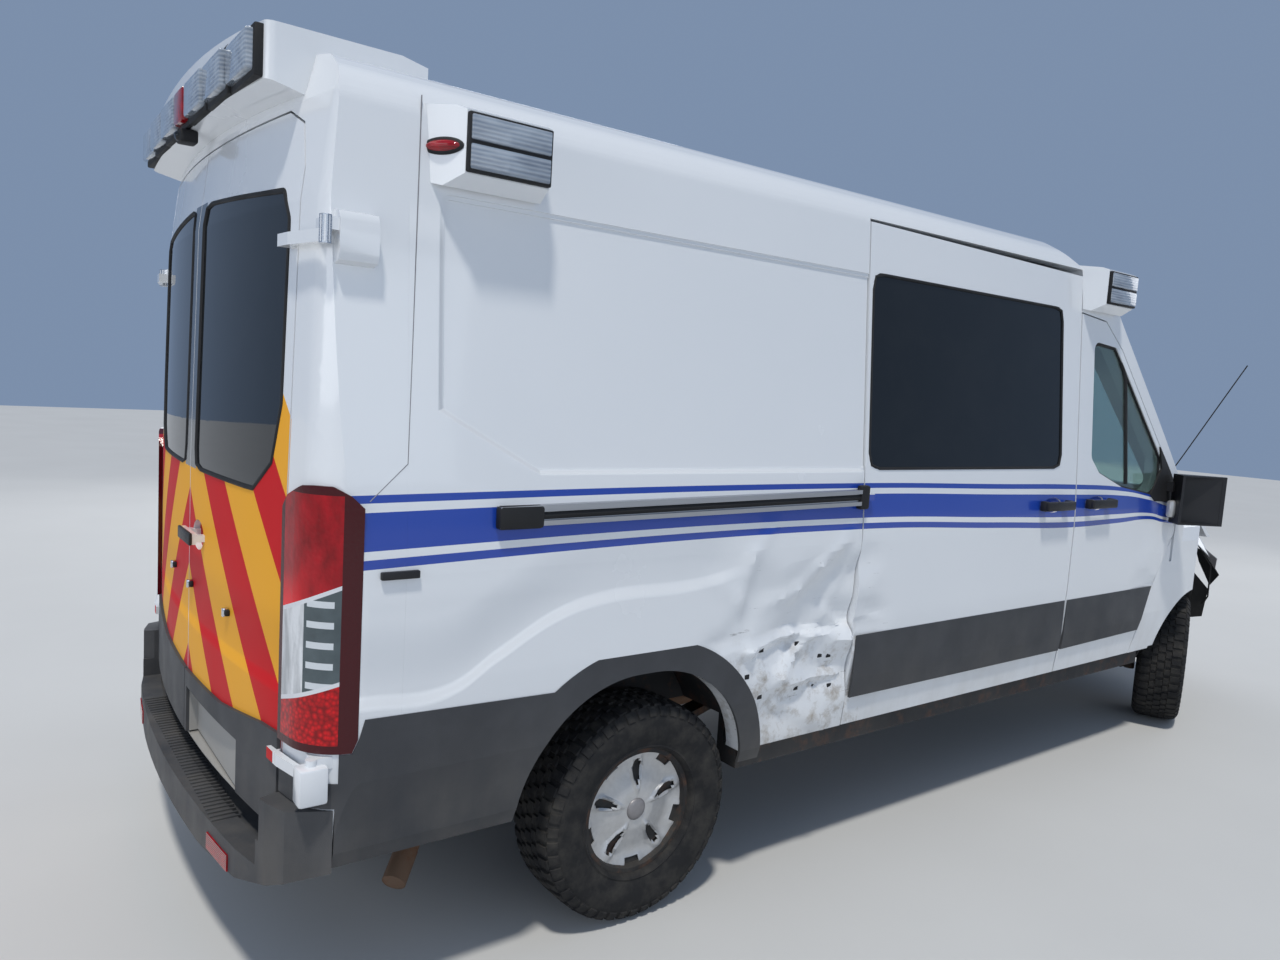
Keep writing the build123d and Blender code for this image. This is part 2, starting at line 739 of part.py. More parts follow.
# Grille: a frame with horizontal bars
grille_bar_gap = 62
with BuildPart() as grille:
    add(nose_shell)
    add(box_between(2600, front_end_x, -grille_half_width, grille_half_width, grille_low_z,
                    grille_high_z), mode=Mode.INTERSECT)
    for row in range(5):
        low = grille_low_z + 20 + row * grille_bar_gap
        add(box_between(2600, front_end_x, -grille_half_width + 30, grille_half_width - 30, low,
                        low + 40), mode=Mode.SUBTRACT)
named(grille.part, "grille")

# Front fenders, the right one torn off ahead of its arch
grille_zone = box_between(2600, front_end_x, -grille_half_width - fit_gap,
                          grille_half_width + fit_gap, 300, grille_high_z + fit_gap)
bumper_zone = box_between(2380, front_end_x, -1100, 1100, 300, bumper_high_z + fit_gap)
liner_inner_y = 505
liner_outer_y = 1001
liner_low_z = 430
cut_low_z = 960
fender_joint_x = 1700
fender_zone = box_between(fender_joint_x, 2900, -half_width, half_width, door_low_z - 2, cowl_z)
cab_skin = (body_section(0) - body_section(nose_wall)) & box_between(
    1200, fender_joint_x, -half_width, half_width, door_low_z - 2, cowl_z)
with BuildPart() as front_fenders:
    add(nose_shell & fender_zone)
    add(skin_inner, mode=Mode.SUBTRACT)
    add(body_hull(-fit_gap) & box_between(1000, front_end_x, -900 - fit_gap, 900 + fit_gap, 300, 1500),
        mode=Mode.SUBTRACT)
    add(cab_skin - box_between(1100, 1800, -900, 900, 300, 1500))
    add(side_prism(hood_cut, -half_width, half_width, grow=door_gap)
        & box_between(1700, hood_front_x + door_gap, -hood_half_width - door_gap,
                      hood_half_width + door_gap, 900, 1500), mode=Mode.SUBTRACT)
    add(grille_zone, mode=Mode.SUBTRACT)
    add(bumper_zone, mode=Mode.SUBTRACT)
    add(lamp_block, mode=Mode.SUBTRACT)
    for cut in door_cuts:
        add(cut, mode=Mode.SUBTRACT)
    for side in (-1, 1):
        add(arch_prism(front_axle_x, wheel_radius, front_arch_radius, 0, *span(side, 900, 1100)),
            mode=Mode.SUBTRACT)
        add(arch_prism(front_axle_x, wheel_radius, liner_radius + liner_wall + fit_gap, 0,
                       *span(side, liner_inner_y - fit_gap, liner_outer_y)), mode=Mode.SUBTRACT)
        with BuildSketch(Plane.XY.offset(cut_low_z)):
            with Locations((hinge_x, side * hinge_y)):
                Circle(hinge_inset + swing_clearance)
        extrude(amount=cowl_z + 20 - cut_low_z, mode=Mode.SUBTRACT)
    add(torn_corner, mode=Mode.SUBTRACT)
named(front_fenders.part, "front_fenders")

# Wheel liners under the front fenders
with BuildPart() as wheel_liners:
    for side in (-1, 1):
        add(arch_prism(front_axle_x, wheel_radius, liner_radius + liner_wall, 0,
                       *span(side, liner_inner_y, liner_outer_y))
            & nose_hull(nose_wall + fit_gap)
            & box_between(1200, 2900, *span(side, liner_inner_y, liner_outer_y), liner_low_z, 1200))
    for side in (-1, 1):
        add(arch_prism(front_axle_x, wheel_radius, liner_radius, 0,
                       *span(side, liner_inner_y + liner_wall, liner_outer_y + 1)), mode=Mode.SUBTRACT)
    add(bumper_zone - box_between(2380, 2470, -1100, 1100, 300, bumper_high_z), mode=Mode.SUBTRACT)
    add(torn_corner, mode=Mode.SUBTRACT)
named(wheel_liners.part, "wheel_liners")

# Front bumper, its right end torn off
bumper_low_z = 250
with BuildPart() as front_bumper:
    with BuildSketch(Plane.XY.offset(bumper_low_z)) as bumper_plan:
        with BuildLine():
            ThreePointArc((2790, -960), (front_end_x, 0), (2790, 960))
            Polyline((2790, 960), (2400, 1020), (2400, -1020), (2790, -960))
        make_face()
        fillet(bumper_plan.vertices().group_by(Axis.X)[1], 60)
    extrude(amount=bumper_high_z - bumper_low_z)
    with BuildSketch(Plane.XY.offset(bumper_low_z)) as bumper_inside:
        add(bumper_plan.sketch)
        offset(amount=-30)
        with Locations((2350, 0)):
            Rectangle(200, 1980)
    extrude(amount=bumper_high_z - bumper_low_z, mode=Mode.SUBTRACT)
    add(box_between(2700, front_end_x, -400, 400, 420, 560), mode=Mode.SUBTRACT)
    add(torn_corner, mode=Mode.SUBTRACT)
named(front_bumper.part, "front_bumper")

# Floor plate with the raised load board and the two rear wheel houses
rail_y = 450
rail_width = 80
rail_low_z = 560
rail_top_z = load_floor_z - floor_thickness - fit_gap
wheelhouse_inner_y = 700
wheelhouse_wall = 10
wheelhouse_radius = rear_arch_radius + 20
board_thickness = 8
board_half_width = 680
floor_hull = body_hull(door_wall + fit_gap)
wall_hull = body_hull(side_wall + fit_gap)
with BuildPart() as floor_pan:
    add(floor_hull & box_between(rear_face_x + 30, firewall_x + 80, -half_width, half_width,
                                 load_floor_z - floor_thickness, load_floor_z - fit_gap))
    add(box_between(-2700, hoop_rear_x - 30, -board_half_width, board_half_width,
                    load_floor_z - floor_thickness / 2, load_floor_z + board_thickness))
    for side in (-1, 1):
        add(arch_prism(rear_arch_x, rear_arch_z, wheelhouse_radius + wheelhouse_wall + fit_gap,
                       rear_arch_stretch, *span(side, wheelhouse_inner_y - fit_gap, 1050)),
            mode=Mode.SUBTRACT)
        add(arch_prism(front_axle_x, wheel_radius, liner_radius + liner_wall + 1, 0,
                       *span(side, 500, 1050)), mode=Mode.SUBTRACT)
    for side in (-1, 1):
        house = box_between(-2700, -900, *span(side, wheelhouse_inner_y, 1050), 600, 1200)
        add(arch_prism(rear_arch_x, rear_arch_z, wheelhouse_radius + wheelhouse_wall,
                       rear_arch_stretch, *span(side, wheelhouse_inner_y, 1050))
            & house & wall_hull)
        add(arch_prism(rear_arch_x, rear_arch_z, wheelhouse_radius, rear_arch_stretch,
                       *span(side, wheelhouse_inner_y + wheelhouse_wall, 1060)), mode=Mode.SUBTRACT)
named(floor_pan.part, "floor_pan")

# Chassis: two rails, crossmembers, outriggers, sills with their risers, and the rear sill panel
rocker_front_x = 1440
rocker_rear_x = rear_arch_x + rear_arch_stretch / 2 + rear_arch_radius + 6
sill_inner_y = 880
sill_outer_y = 980
riser_width = 28
outrigger_width = 60
crossmember_width = 70
rear_panel_x = -2765
with BuildPart() as chassis_rails:
    for side in (-1, 1):
        rail_span = span(side, rail_y - rail_width / 2, rail_y + rail_width / 2)
        add(box_between(-2790, 2680, *rail_span, rail_low_z, rail_top_z))
        add(box_between(rocker_rear_x, rocker_front_x, *span(side, sill_inner_y, sill_inner_y + riser_width),
                        rocker_low_z, rail_top_z))
        add(box_between(rocker_rear_x, rocker_front_x,
                        *span(side, sill_inner_y + riser_width + fit_gap, sill_outer_y),
                        rocker_low_z, door_low_z - 2 - fit_gap))
        outrigger = [
            (rail_y + rail_width / 2 + fit_gap, 600), (rail_y + rail_width / 2 + fit_gap, rail_top_z),
            (sill_inner_y - fit_gap, door_low_z), (sill_inner_y - fit_gap, rocker_low_z + 16),
        ]
        for x in (-1000, -400, 200, 700, 1250):
            add(rear_prism([(side * y, z) for y, z in outrigger], x, x + outrigger_width))
    for x in (-2790, -1300, 100, 1200, 2600):
        half_length = rail_y - rail_width / 2 - fit_gap
        add(box_between(x, x + crossmember_width, -half_length, half_length, rail_low_z + 20, rail_top_z))
    add(box_between(rear_panel_x, rear_panel_x + 20, -rear_door_half_width, rear_door_half_width,
                    440, rail_low_z - fit_gap))
named(chassis_rails.part, "chassis_rails")

# Rear bumper: a bowed step between two corner pieces that rise beside the doors
step_low_z = 325
step_high_z = 430
step_wall = 22
corner_high_z = 612
corner_inner_y = 843
corner_front_x = -2783
# Underside of the step seen from behind: distance from the middle, height
step_underside = [(440, step_low_z), (735, 350), (900, 398), (1030, 456)]
hinge_swing_radius = rear_hinge_y - rear_door_half_width - swing_clearance
step_plan = [(-2944, 735), (-2912, 885), (-2885, 965), (corner_front_x, 1014)]


def hinge_zone(z0, z1):
    """The two rounds about the rear hinge axes that the doors never enter."""
    with BuildPart() as zone:
        with BuildSketch(Plane.XY.offset(z0)):
            for side in (-1, 1):
                with Locations((rear_hinge_x, side * rear_hinge_y)):
                    Circle(hinge_swing_radius)
        extrude(amount=z1 - z0)
    return zone.part


with BuildPart() as rear_bumper:
    with BuildSketch(Plane.XY.offset(step_low_z)) as plan:
        with BuildLine():
            ThreePointArc(step_plan[0], (rear_end_x, 0), (step_plan[0][0], -step_plan[0][1]))
            Polyline(*[(x, -y) for x, y in step_plan], *reversed(step_plan))
        make_face()
    extrude(amount=corner_high_z - step_low_z)
    with BuildSketch(Plane.XY.offset(step_low_z)):
        add(plan.sketch)
        offset(amount=-step_wall, kind=Kind.INTERSECTION)
    extrude(amount=step_high_z - step_wall - step_low_z, mode=Mode.SUBTRACT)
    add(box_between(rear_end_x, corner_front_x, -corner_inner_y, corner_inner_y, step_high_z,
                    corner_high_z), mode=Mode.SUBTRACT)
    add(box_between(rear_end_x, corner_front_x, -1100, 1100, rear_door_low_z - swing_clearance,
                    corner_high_z) - hinge_zone(step_high_z, corner_high_z), mode=Mode.SUBTRACT)
    add(body_hull(-fit_gap), mode=Mode.SUBTRACT)
    for side in (-1, 1):
        add(rear_prism([(side * y, z) for y, z in step_underside]
                       + [(side * 1030, step_low_z - 20), (side * 440, step_low_z - 20)],
                       rear_end_x, corner_front_x), mode=Mode.SUBTRACT)
        low, high = span(side, rail_y - 60, rail_y + 60)
        add(box_between(-2806, rear_panel_x - 1, low, high, step_high_z - step_wall, rail_low_z - fit_gap))
named(rear_bumper.part, "rear_bumper")

# Dark lower cladding: quarters behind the rear arches, arch trims and the side mouldings
lamp_low_z = 757
hinge_notch_x = rear_hinge_x + 62
quarter_outline = [
    (-2714, 838), (-2140, 823), (-2200, 453), (corner_front_x + 4, 453),
    (corner_front_x + 4, corner_high_z + 4), (-3000, corner_high_z + 4), (-3000, lamp_low_z - 2),
    (-2743, lamp_low_z - 2), (-2727, 790),
]
with BuildPart() as side_cladding:
    add(clad_skin)
    quarter = side_prism(quarter_outline, -half_width - 20, half_width + 20)
    trim_solid = arch_prism(rear_arch_x, rear_arch_z, rear_arch_radius + arch_trim_width,
                            rear_arch_stretch, -half_width - 20, half_width + 20)
    trim_hole = arch_prism(rear_arch_x, rear_arch_z, rear_arch_radius, rear_arch_stretch,
                           -half_width - 20, half_width + 20)
    moulding = side_prism([(slider_rear_x + moulding_margin, moulding_high_z),
                           (b_pillar_x - moulding_margin, moulding_high_z),
                           (b_pillar_x - moulding_margin, moulding_low_z),
                           (slider_rear_x + moulding_margin, moulding_low_z)], -half_width - 20, 0)
    left_moulding = side_prism([(-1310, moulding_high_z), (b_pillar_x - moulding_margin, moulding_high_z),
                                (b_pillar_x - moulding_margin, moulding_low_z),
                                (-1310, moulding_low_z)], 0, half_width + 20)
    add(quarter + trim_solid + moulding + left_moulding, mode=Mode.INTERSECT)
    add(trim_hole, mode=Mode.SUBTRACT)
    add(box_between(-3000, 1000, -1100, 1100, 300, 453), mode=Mode.SUBTRACT)
    add(box_between(-3000, -2700, -corner_inner_y, corner_inner_y, 300, 900), mode=Mode.SUBTRACT)
    for side in (-1, 1):
        add(box_between(-3000, hinge_notch_x, *span(side, 790, 1100), rear_hinge_heights[1] - 10, 760),
            mode=Mode.SUBTRACT)
named(side_cladding.part, "side_cladding")

# Tail lamps wrapped round the rear corners: outline from the side, then from behind
lamp_thickness = 16
lamp_side_outline = [
    (-3000, lamp_low_z), (-2745, lamp_low_z), (-2731, 790), (-2731, 1366), (-2762, 1396),
    (-2801, 1418), (-3000, 1418),
]
lamp_rear_outline = [
    (corner_inner_y, 745), (1100, 745), (1100, 1430), (938, 1415), (868, 1384), (corner_inner_y, 1352),
]
with BuildPart() as tail_lamps:
    add(body_hull(-lamp_thickness) - body_outer)
    add(side_prism(lamp_side_outline, -half_width - 30, half_width + 30), mode=Mode.INTERSECT)
    add(rear_prism(lamp_rear_outline, -3000, -2700)
        + rear_prism([(-y, z) for y, z in lamp_rear_outline], -3000, -2700), mode=Mode.INTERSECT)
named(tail_lamps.part, "tail_lamps")

# Rear light pod on the roof edge and the four side light housings
pod_half_width = 765
pod_rear_x = -2945
pod_bow = 33
pod_front_x = -2500
pod_lens_z = (2405, 2505)
pod_lens_depth = 20
# Side profile of the pod on its centre line
pod_profile = [
    (-2960, 2580), (-2747, 2556), (pod_front_x, 2505), (pod_front_x, 2360), (-2800, 2360), (-2960, 2396),
]
# Lamps of the pod: the distances from the middle that each lies between
pod_lamps = [(-735, -526), (-512, -303), (-289, -80), (-62, 62), (80, 289), (303, 512), (526, 735)]
side_light_plan = [(-2586, 930), (-2510, 1035), (-2270, 1035), (-2262, 930)]
side_light_section = [(900, 2185), (985, 2165), (1035, 2195), (1035, 2348), (1010, 2358), (900, 2366)]
side_light_shift = 3146
side_lens_x = (-2503, -2277)
side_lens_rows = [(2204, 2266), (2274, 2336)]
lens_thickness = 12


def pod_plan(grow, z0, z1):
    """The pod's plan with its bowed rear face, between two heights."""
    with BuildPart() as prism:
        with BuildSketch(Plane.XY.offset(z0)) as outline:
            with BuildLine():
                ThreePointArc((pod_rear_x + pod_bow - grow, pod_half_width), (pod_rear_x - grow, 0),
                              (pod_rear_x + pod_bow - grow, -pod_half_width))
                Polyline((pod_rear_x + pod_bow - grow, -pod_half_width), (pod_front_x, -pod_half_width),
                         (pod_front_x, pod_half_width), (pod_rear_x + pod_bow - grow, pod_half_width))
            make_face()
            fillet(outline.vertices().group_by(Axis.X)[0], 25)
        extrude(amount=z1 - z0)
    return prism.part


with BuildPart() as light_housings:
    add(pod_plan(0, 2340, 2600))
    add(side_prism(pod_profile, -pod_half_width, pod_half_width), mode=Mode.INTERSECT)
    with BuildSketch(Plane.YZ.offset(rear_end_x)):
        with BuildLine():
            ThreePointArc((pod_half_width, 2520), (0, 2560), (-pod_half_width, 2520))
            Polyline((-pod_half_width, 2520), (-pod_half_width, 2300), (pod_half_width, 2300),
                     (pod_half_width, 2520))
        make_face()
    extrude(amount=600, mode=Mode.INTERSECT)
    for y0, y1 in pod_lamps:
        add(box_between(rear_end_x, pod_rear_x + pod_bow + pod_lens_depth, y0, y1, *pod_lens_z),
            mode=Mode.SUBTRACT)
    for side in (-1, 1):
        for shift in (0, side_light_shift):
            add(plan_prism([(x + shift, side * y) for x, y in side_light_plan], 2150, 2370)
                & rear_prism([(side * y, z) for y, z in side_light_section], -2600 + shift,
                             -2250 + shift))
    add(body_outer, mode=Mode.SUBTRACT)
named(light_housings.part, "light_housings")

with BuildPart() as warning_lenses:
    add(pod_plan(3, *pod_lens_z))
    with BuildSketch(Plane.YZ.offset(rear_end_x)):
        for y0, y1 in pod_lamps:
            with Locations(((y0 + y1) / 2, sum(pod_lens_z) / 2)):
                Rectangle(y1 - y0 - 2 * fit_gap, pod_lens_z[1] - pod_lens_z[0] - 2 * fit_gap)
    extrude(amount=pod_rear_x + pod_bow + pod_lens_depth - fit_gap - rear_end_x, mode=Mode.INTERSECT)
    for side in (-1, 1):
        for shift in (0, side_light_shift):
            for low_z, high_z in side_lens_rows:
                add(box_between(side_lens_x[0] + shift, side_lens_x[1] + shift,
                                *span(side, 1035, 1035 + lens_thickness), low_z, high_z))
named(warning_lenses.part, "warning_lenses")

# Mirrors on the front doors: a housing that is open to the rear, on an arm
mirror_wall = 6
mirror_glass_depth = 14
with BuildPart() as mirror_left:
    with BuildSketch(Plane.YZ.offset(1440)) as housing:
        with Locations(((mirror_reach + 1048) / 2, 1420)):
            Rectangle(mirror_reach - 1048, 350)
        fillet(housing.vertices(), 40)
    extrude(amount=105, taper=9)
    with BuildSketch(Plane.YZ.offset(1440)):
        add(housing.sketch)
        offset(amount=-mirror_wall)
    extrude(amount=mirror_glass_depth, mode=Mode.SUBTRACT)
    add(box_between(1455, 1515, 990, 1060, 1335, 1385) - body_outer)
named(mirror_left.part, "mirror_left")

# The right mirror is knocked round and hangs forward, hollow, without its glass
knocked_plan = [(1500, -1035), (1645, -1222), (1632, -mirror_reach), (1412, -1120)]
knocked_low_z = 1175
knocked_high_z = 1425
with BuildPart() as mirror_right:
    add(plan_prism(knocked_plan, knocked_low_z, knocked_high_z))
    fillet(mirror_right.edges().filter_by(Axis.Z).sort_by(Axis.X)[-2:], 5)
    hollow = [(1478, -1066), (1610, -1224), (1600, -1290), (1380, -1190), (1424, -1128)]
    add(plan_prism(hollow, knocked_low_z + 8, knocked_high_z - 8), mode=Mode.SUBTRACT)
    add(box_between(1452, 1512, -1060, -990, 1335, 1385) - body_outer)
named(mirror_right.part, "mirror_right")

# Rear axle on its leaf springs, with the propeller shaft
axle_tube_radius = 42
wheel_face = 60
rear_wheel_y = rear_track / 2
front_wheel_y = front_track / 2
spring_y = 580
gearbox_rear_x = 1100
with BuildPart() as rear_axle:
    axle_half_length = rear_wheel_y + wheel_face - fit_gap
    with BuildSketch(Plane.XZ.offset(-axle_half_length)):
        with Locations((rear_axle_x, wheel_radius)):
            Circle(axle_tube_radius)
    extrude(amount=2 * axle_half_length)
    with BuildSketch(Plane.XZ.offset(-170)):
        with Locations((rear_axle_x, wheel_radius)):
            Circle(150)
    extrude(amount=340)
    with BuildSketch(Plane.YZ.offset(rear_axle_x + 100)):
        with Locations((0, wheel_radius)):
            Circle(45)
    extrude(amount=gearbox_rear_x - fit_gap - rear_axle_x - 100)
    for side in (-1, 1):
        with BuildSketch(Plane.XZ.offset(-side * spring_y - 35)):
            with BuildLine():
                ThreePointArc((rear_axle_x - 700, 520), (rear_axle_x, 395), (rear_axle_x + 700, 520))
                Line((rear_axle_x + 700, 520), (rear_axle_x + 700, 545))
                ThreePointArc((rear_axle_x + 700, 545), (rear_axle_x, 430), (rear_axle_x - 700, 545))
                Line((rear_axle_x - 700, 545), (rear_axle_x - 700, 520))
            make_face()
        extrude(amount=70)
        for x in (rear_axle_x - 690, rear_axle_x + 690):
            add(box_between(x - 20, x + 20, *sorted((side * 495, side * 600)), 520, 670.7))
named(rear_axle.part, "rear_axle")

# Front subframe with its lower arms and struts
with BuildPart() as front_subframe:
    add(box_between(front_axle_x - 90, front_axle_x + 90, -420, 420, 280, 360))
    for side in (-1, 1):
        add(box_between(front_axle_x - 45, front_axle_x + 45, *sorted((side * 400, side * 690)), 250, 280))
        add(box_between(front_axle_x - 40, front_axle_x + 40, *sorted((side * 380, side * 480)), 350, 559.7))
        with BuildSketch(Plane.XY.offset(250)):
            with Locations((front_axle_x, side * kingpin_y)):
                Circle(28)
        extrude(amount=30)
        with BuildSketch(Plane.XY.offset(500.3)):
            with Locations((front_axle_x, side * kingpin_y)):
                Circle(26)
        extrude(amount=324)
named(front_subframe.part, "front_subframe")

# Engine block, exhaust, fuel tank
with BuildPart() as engine_block:
    add(box_between(1720, 2420, -300, 300, 480, 1110))
    add(box_between(gearbox_rear_x, 1720, -150, 150, 380, 560))
named(engine_block.part, "engine_block")

# Tail pipe from the muffler, over the axle and out behind the right rear wheel
tail_pipe_radius = 35
tail_pipe_bend = 100
tail_pipe_points = [
    (-640, -300, 430), (-1250, -330, 430), (-1550, -330, 500), (-2080, -330, 500), (-2330, -520, 290),
    (-2470, -660, 165),
]
with BuildPart() as exhaust:
    with BuildSketch(Plane.YZ.offset(-650)):
        with Locations((-300, 430)):
            Circle(100)
    extrude(amount=800)
    add(box_between(110, 140, -315, -285, 525, rail_low_z + 20 - fit_gap))
    with BuildLine() as route:
        FilletPolyline(*tail_pipe_points, radius=tail_pipe_bend)
    with BuildSketch(Plane(origin=route.line @ 0, z_dir=route.line % 0)):
        Circle(tail_pipe_radius)
    sweep(path=route.line)
named(exhaust.part, "exhaust")

with BuildPart() as fuel_tank:
    add(box_between(-650, 350, 130, 425, 330, 559.7))
named(fuel_tank.part, "fuel_tank")

# Cab seats: cushion, backrest and headrest by their side outlines, on a box
seat_middle_y = 480
cushion_outline = [(690, 960), (690, 1060), (800, 1075), (1140, 1085), (1165, 1050), (1150, 960)]
backrest_outline = [(682, 1030), (796, 1030), (788, 1690), (705, 1700)]
headrest_outline = [(700, 1740), (775, 1735), (780, 1890), (715, 1895)]
seat_half_widths = (250, 235, 130)
with BuildPart() as seats:
    for side in (-1, 1):
        for outline, half in zip((cushion_outline, backrest_outline, headrest_outline), seat_half_widths):
            add(side_prism(outline, side * seat_middle_y - half, side * seat_middle_y + half, radius=16))
        add(box_between(735, 750, side * seat_middle_y - 60, side * seat_middle_y + 60, 1680, 1760))
        add(box_between(760, 1100, side * seat_middle_y - 180, side * seat_middle_y + 180,
                        load_floor_z, 970))
named(seats.part, "seats")

# Dashboard with the tray under the windscreen, and the steering wheel on its column
dash_outline = [
    (1200, 1040), (1290, 965), (firewall_x - fit_gap, 960), (firewall_x - fit_gap, cowl_z + fit_gap),
    (1960, cowl_z + fit_gap), (1960, cowl_z + 12), (1340, cowl_z + 12), (1235, 1240), (1190, 1130),
]
steering_wheel_plane = Plane(origin=(1190, 430, 1290), x_dir=(0, 1, 0),
                             z_dir=(-sin(radians(30)), 0, cos(radians(30))))
with BuildPart() as dashboard:
    add(side_prism(dash_outline, -760, 760) & wall_hull)
    with BuildSketch(steering_wheel_plane):
        Circle(195)
        Circle(168, mode=Mode.SUBTRACT)
        Rectangle(350, 40)
    extrude(amount=24)
    with BuildSketch(steering_wheel_plane):
        Circle(30)
    extrude(amount=-210)
named(dashboard.part, "dashboard")


# Wheels: tyres and rims
def wheel_plane(side, front):
    """The plane of a wheel's middle: its x axis outwards along the spin axis, its y axis up."""
    if not front:
        return Plane(origin=(rear_axle_x, side * rear_wheel_y, wheel_radius), x_dir=(0, side, 0),
                     z_dir=(side, 0, 0))
    turn = radians(steer_angle)
    offset_y = side * (front_wheel_y - kingpin_y)
    origin = (front_axle_x - offset_y * sin(turn), side * kingpin_y + offset_y * cos(turn),
              wheel_radius)
    return Plane(origin=origin, x_dir=(-side * sin(turn), side * cos(turn), 0),
                 z_dir=(side * cos(turn), side * sin(turn), 0))


# Tyre and rim sections: distance from the wheel's middle plane, radius
tyre_profile = [
    (-85, rim_seat_radius), (-112, 240), (-tyre_width / 2, 285), (-102, 336), (-70, wheel_radius),
    (70, wheel_radius), (102, 336), (tyre_width / 2, 285), (112, 240), (85, rim_seat_radius),
]
rim_profile = [
    (-85, rim_seat_radius - fit_gap), (85, rim_seat_radius - fit_gap), (85, 189), (60, 185), (52, 140),
    (wheel_face + 9, 60), (wheel_face + 9, 0), (wheel_face, 0), (wheel_face, 48), (42, 140), (40, 185),
    (-85, 190),
]
# Openings of the wheel cover: number, first angle, inner and outer radius, their half angles
cover_openings = [(5, 90, 86, 160, 3, 20), (5, 54, 165, 181, 9, 8)]
for name, side, front in (
    ("front_left", 1, True), ("front_right", -1, True),
    ("rear_left", 1, False), ("rear_right", -1, False),
):
    plane = wheel_plane(side, front)
    spin_axis = Axis(plane.origin, plane.x_dir)
    with BuildPart() as tyre:
        with BuildSketch(plane):
            Polygon(*tyre_profile, align=None)
        revolve(axis=spin_axis)
    named(tyre.part, "tyre_" + name)
    with BuildPart() as rim:
        with BuildSketch(plane):
            Polygon(*rim_profile, align=None)
        revolve(axis=spin_axis)
        with BuildSketch(Plane(origin=plane.origin + plane.x_dir * 30, x_dir=plane.z_dir,
                               z_dir=plane.x_dir)):
            for count, first, inner, outer, inner_half, outer_half in cover_openings:
                with PolarLocations(0, count, start_angle=first):
                    Polygon(*[(r * cos(radians(a)), r * sin(radians(a)))
                              for r, a in ((inner, -inner_half), (outer, -outer_half),
                                           (outer, outer_half), (inner, inner_half))], align=None)
        extrude(amount=60, mode=Mode.SUBTRACT)
    named(rim.part, "rim_" + name)

# Knuckles: an upright on the kingpin with the stub axle and the brake disc
for name, side in (("left", 1), ("right", -1)):
    plane = wheel_plane(side, True)
    disc_plane = Plane(origin=plane.origin - plane.x_dir * 30, x_dir=plane.z_dir, z_dir=plane.x_dir)
    with BuildPart() as knuckle:
        with BuildSketch(Plane.XY.offset(280.3)):
            with Locations((front_axle_x, side * kingpin_y)):
                Circle(27)
        extrude(amount=219.7)
        with BuildSketch(disc_plane):
            Circle(140)
        extrude(amount=25)
        with BuildSketch(Plane(origin=plane.origin - plane.x_dir * 151, x_dir=plane.z_dir,
                               z_dir=plane.x_dir)):
            Circle(40)
        extrude(amount=151 + wheel_face - fit_gap)
    named(knuckle.part, "knuckle_" + name)
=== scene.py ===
"""Looks of a panel-van ambulance: worn white paint with blue side stripes, red and amber rear
chevrons, a crash-damaged right side, knobbly tyres and an emergency light pod."""

import json
import math
from contextlib import contextmanager
from functools import cache

import bmesh
import bpy
from mathutils import Matrix, Vector
from mathutils.bvhtree import BVHTree


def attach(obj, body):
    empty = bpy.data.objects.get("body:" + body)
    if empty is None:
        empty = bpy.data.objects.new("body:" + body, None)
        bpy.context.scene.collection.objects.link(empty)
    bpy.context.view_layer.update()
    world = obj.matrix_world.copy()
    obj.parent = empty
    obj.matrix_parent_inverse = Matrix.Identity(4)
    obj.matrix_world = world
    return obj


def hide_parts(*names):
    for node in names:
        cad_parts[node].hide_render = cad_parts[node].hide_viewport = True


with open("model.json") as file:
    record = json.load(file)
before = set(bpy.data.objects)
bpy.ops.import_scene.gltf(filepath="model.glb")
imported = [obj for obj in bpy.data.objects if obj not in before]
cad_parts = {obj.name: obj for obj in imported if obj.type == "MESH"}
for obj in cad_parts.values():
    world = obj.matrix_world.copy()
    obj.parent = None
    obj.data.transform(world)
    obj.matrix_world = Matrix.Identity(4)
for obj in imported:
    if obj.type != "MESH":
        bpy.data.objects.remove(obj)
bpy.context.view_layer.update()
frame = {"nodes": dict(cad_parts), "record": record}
nodes = frame["nodes"]
joints = {joint["name"]: joint for joint in frame["record"]["behaviour"]["joints"]}

# The right rear door's hinge, in metres
rear_hinge = Vector(joints["rear_door_right_hinge"]["pos_m"])
whole_mesh = {"location": True, "rotation": True, "scale": True}


# Camera at the photograph's place
def aim_camera():
    yaw, pitch, roll = math.radians(53.07), math.radians(-5.74), math.radians(3.53)
    ahead = Vector((math.cos(pitch) * math.cos(yaw), math.cos(pitch) * math.sin(yaw), math.sin(pitch)))
    right = ahead.cross(Vector((0, 0, 1))).normalized()
    above = right.cross(ahead)
    turned_right = math.cos(roll) * right + math.sin(roll) * above
    turned_above = -math.sin(roll) * right + math.cos(roll) * above
    data = bpy.data.cameras.new("camera")
    data.sensor_width = 36
    data.lens = 26.04
    data.clip_end = 200
    camera = bpy.data.objects.new("camera", data)
    bpy.context.scene.collection.objects.link(camera)
    place = Matrix((turned_right, turned_above, -ahead)).transposed().to_4x4()
    place.translation = Vector((-3.533, -3.187, 1.699))
    camera.matrix_world = place
    bpy.context.scene.camera = camera


def area_light(name, place, target, size, power, colour=(1, 1, 1)):
    data = bpy.data.lights.new(name, "AREA")
    data.shape = "RECTANGLE"
    data.size, data.size_y = size
    data.energy = power
    data.color = colour
    light = bpy.data.objects.new(name, data)
    bpy.context.scene.collection.objects.link(light)
    light.location = place
    light.rotation_euler = (Vector(target) - Vector(place)).to_track_quat("-Z", "Y").to_euler()


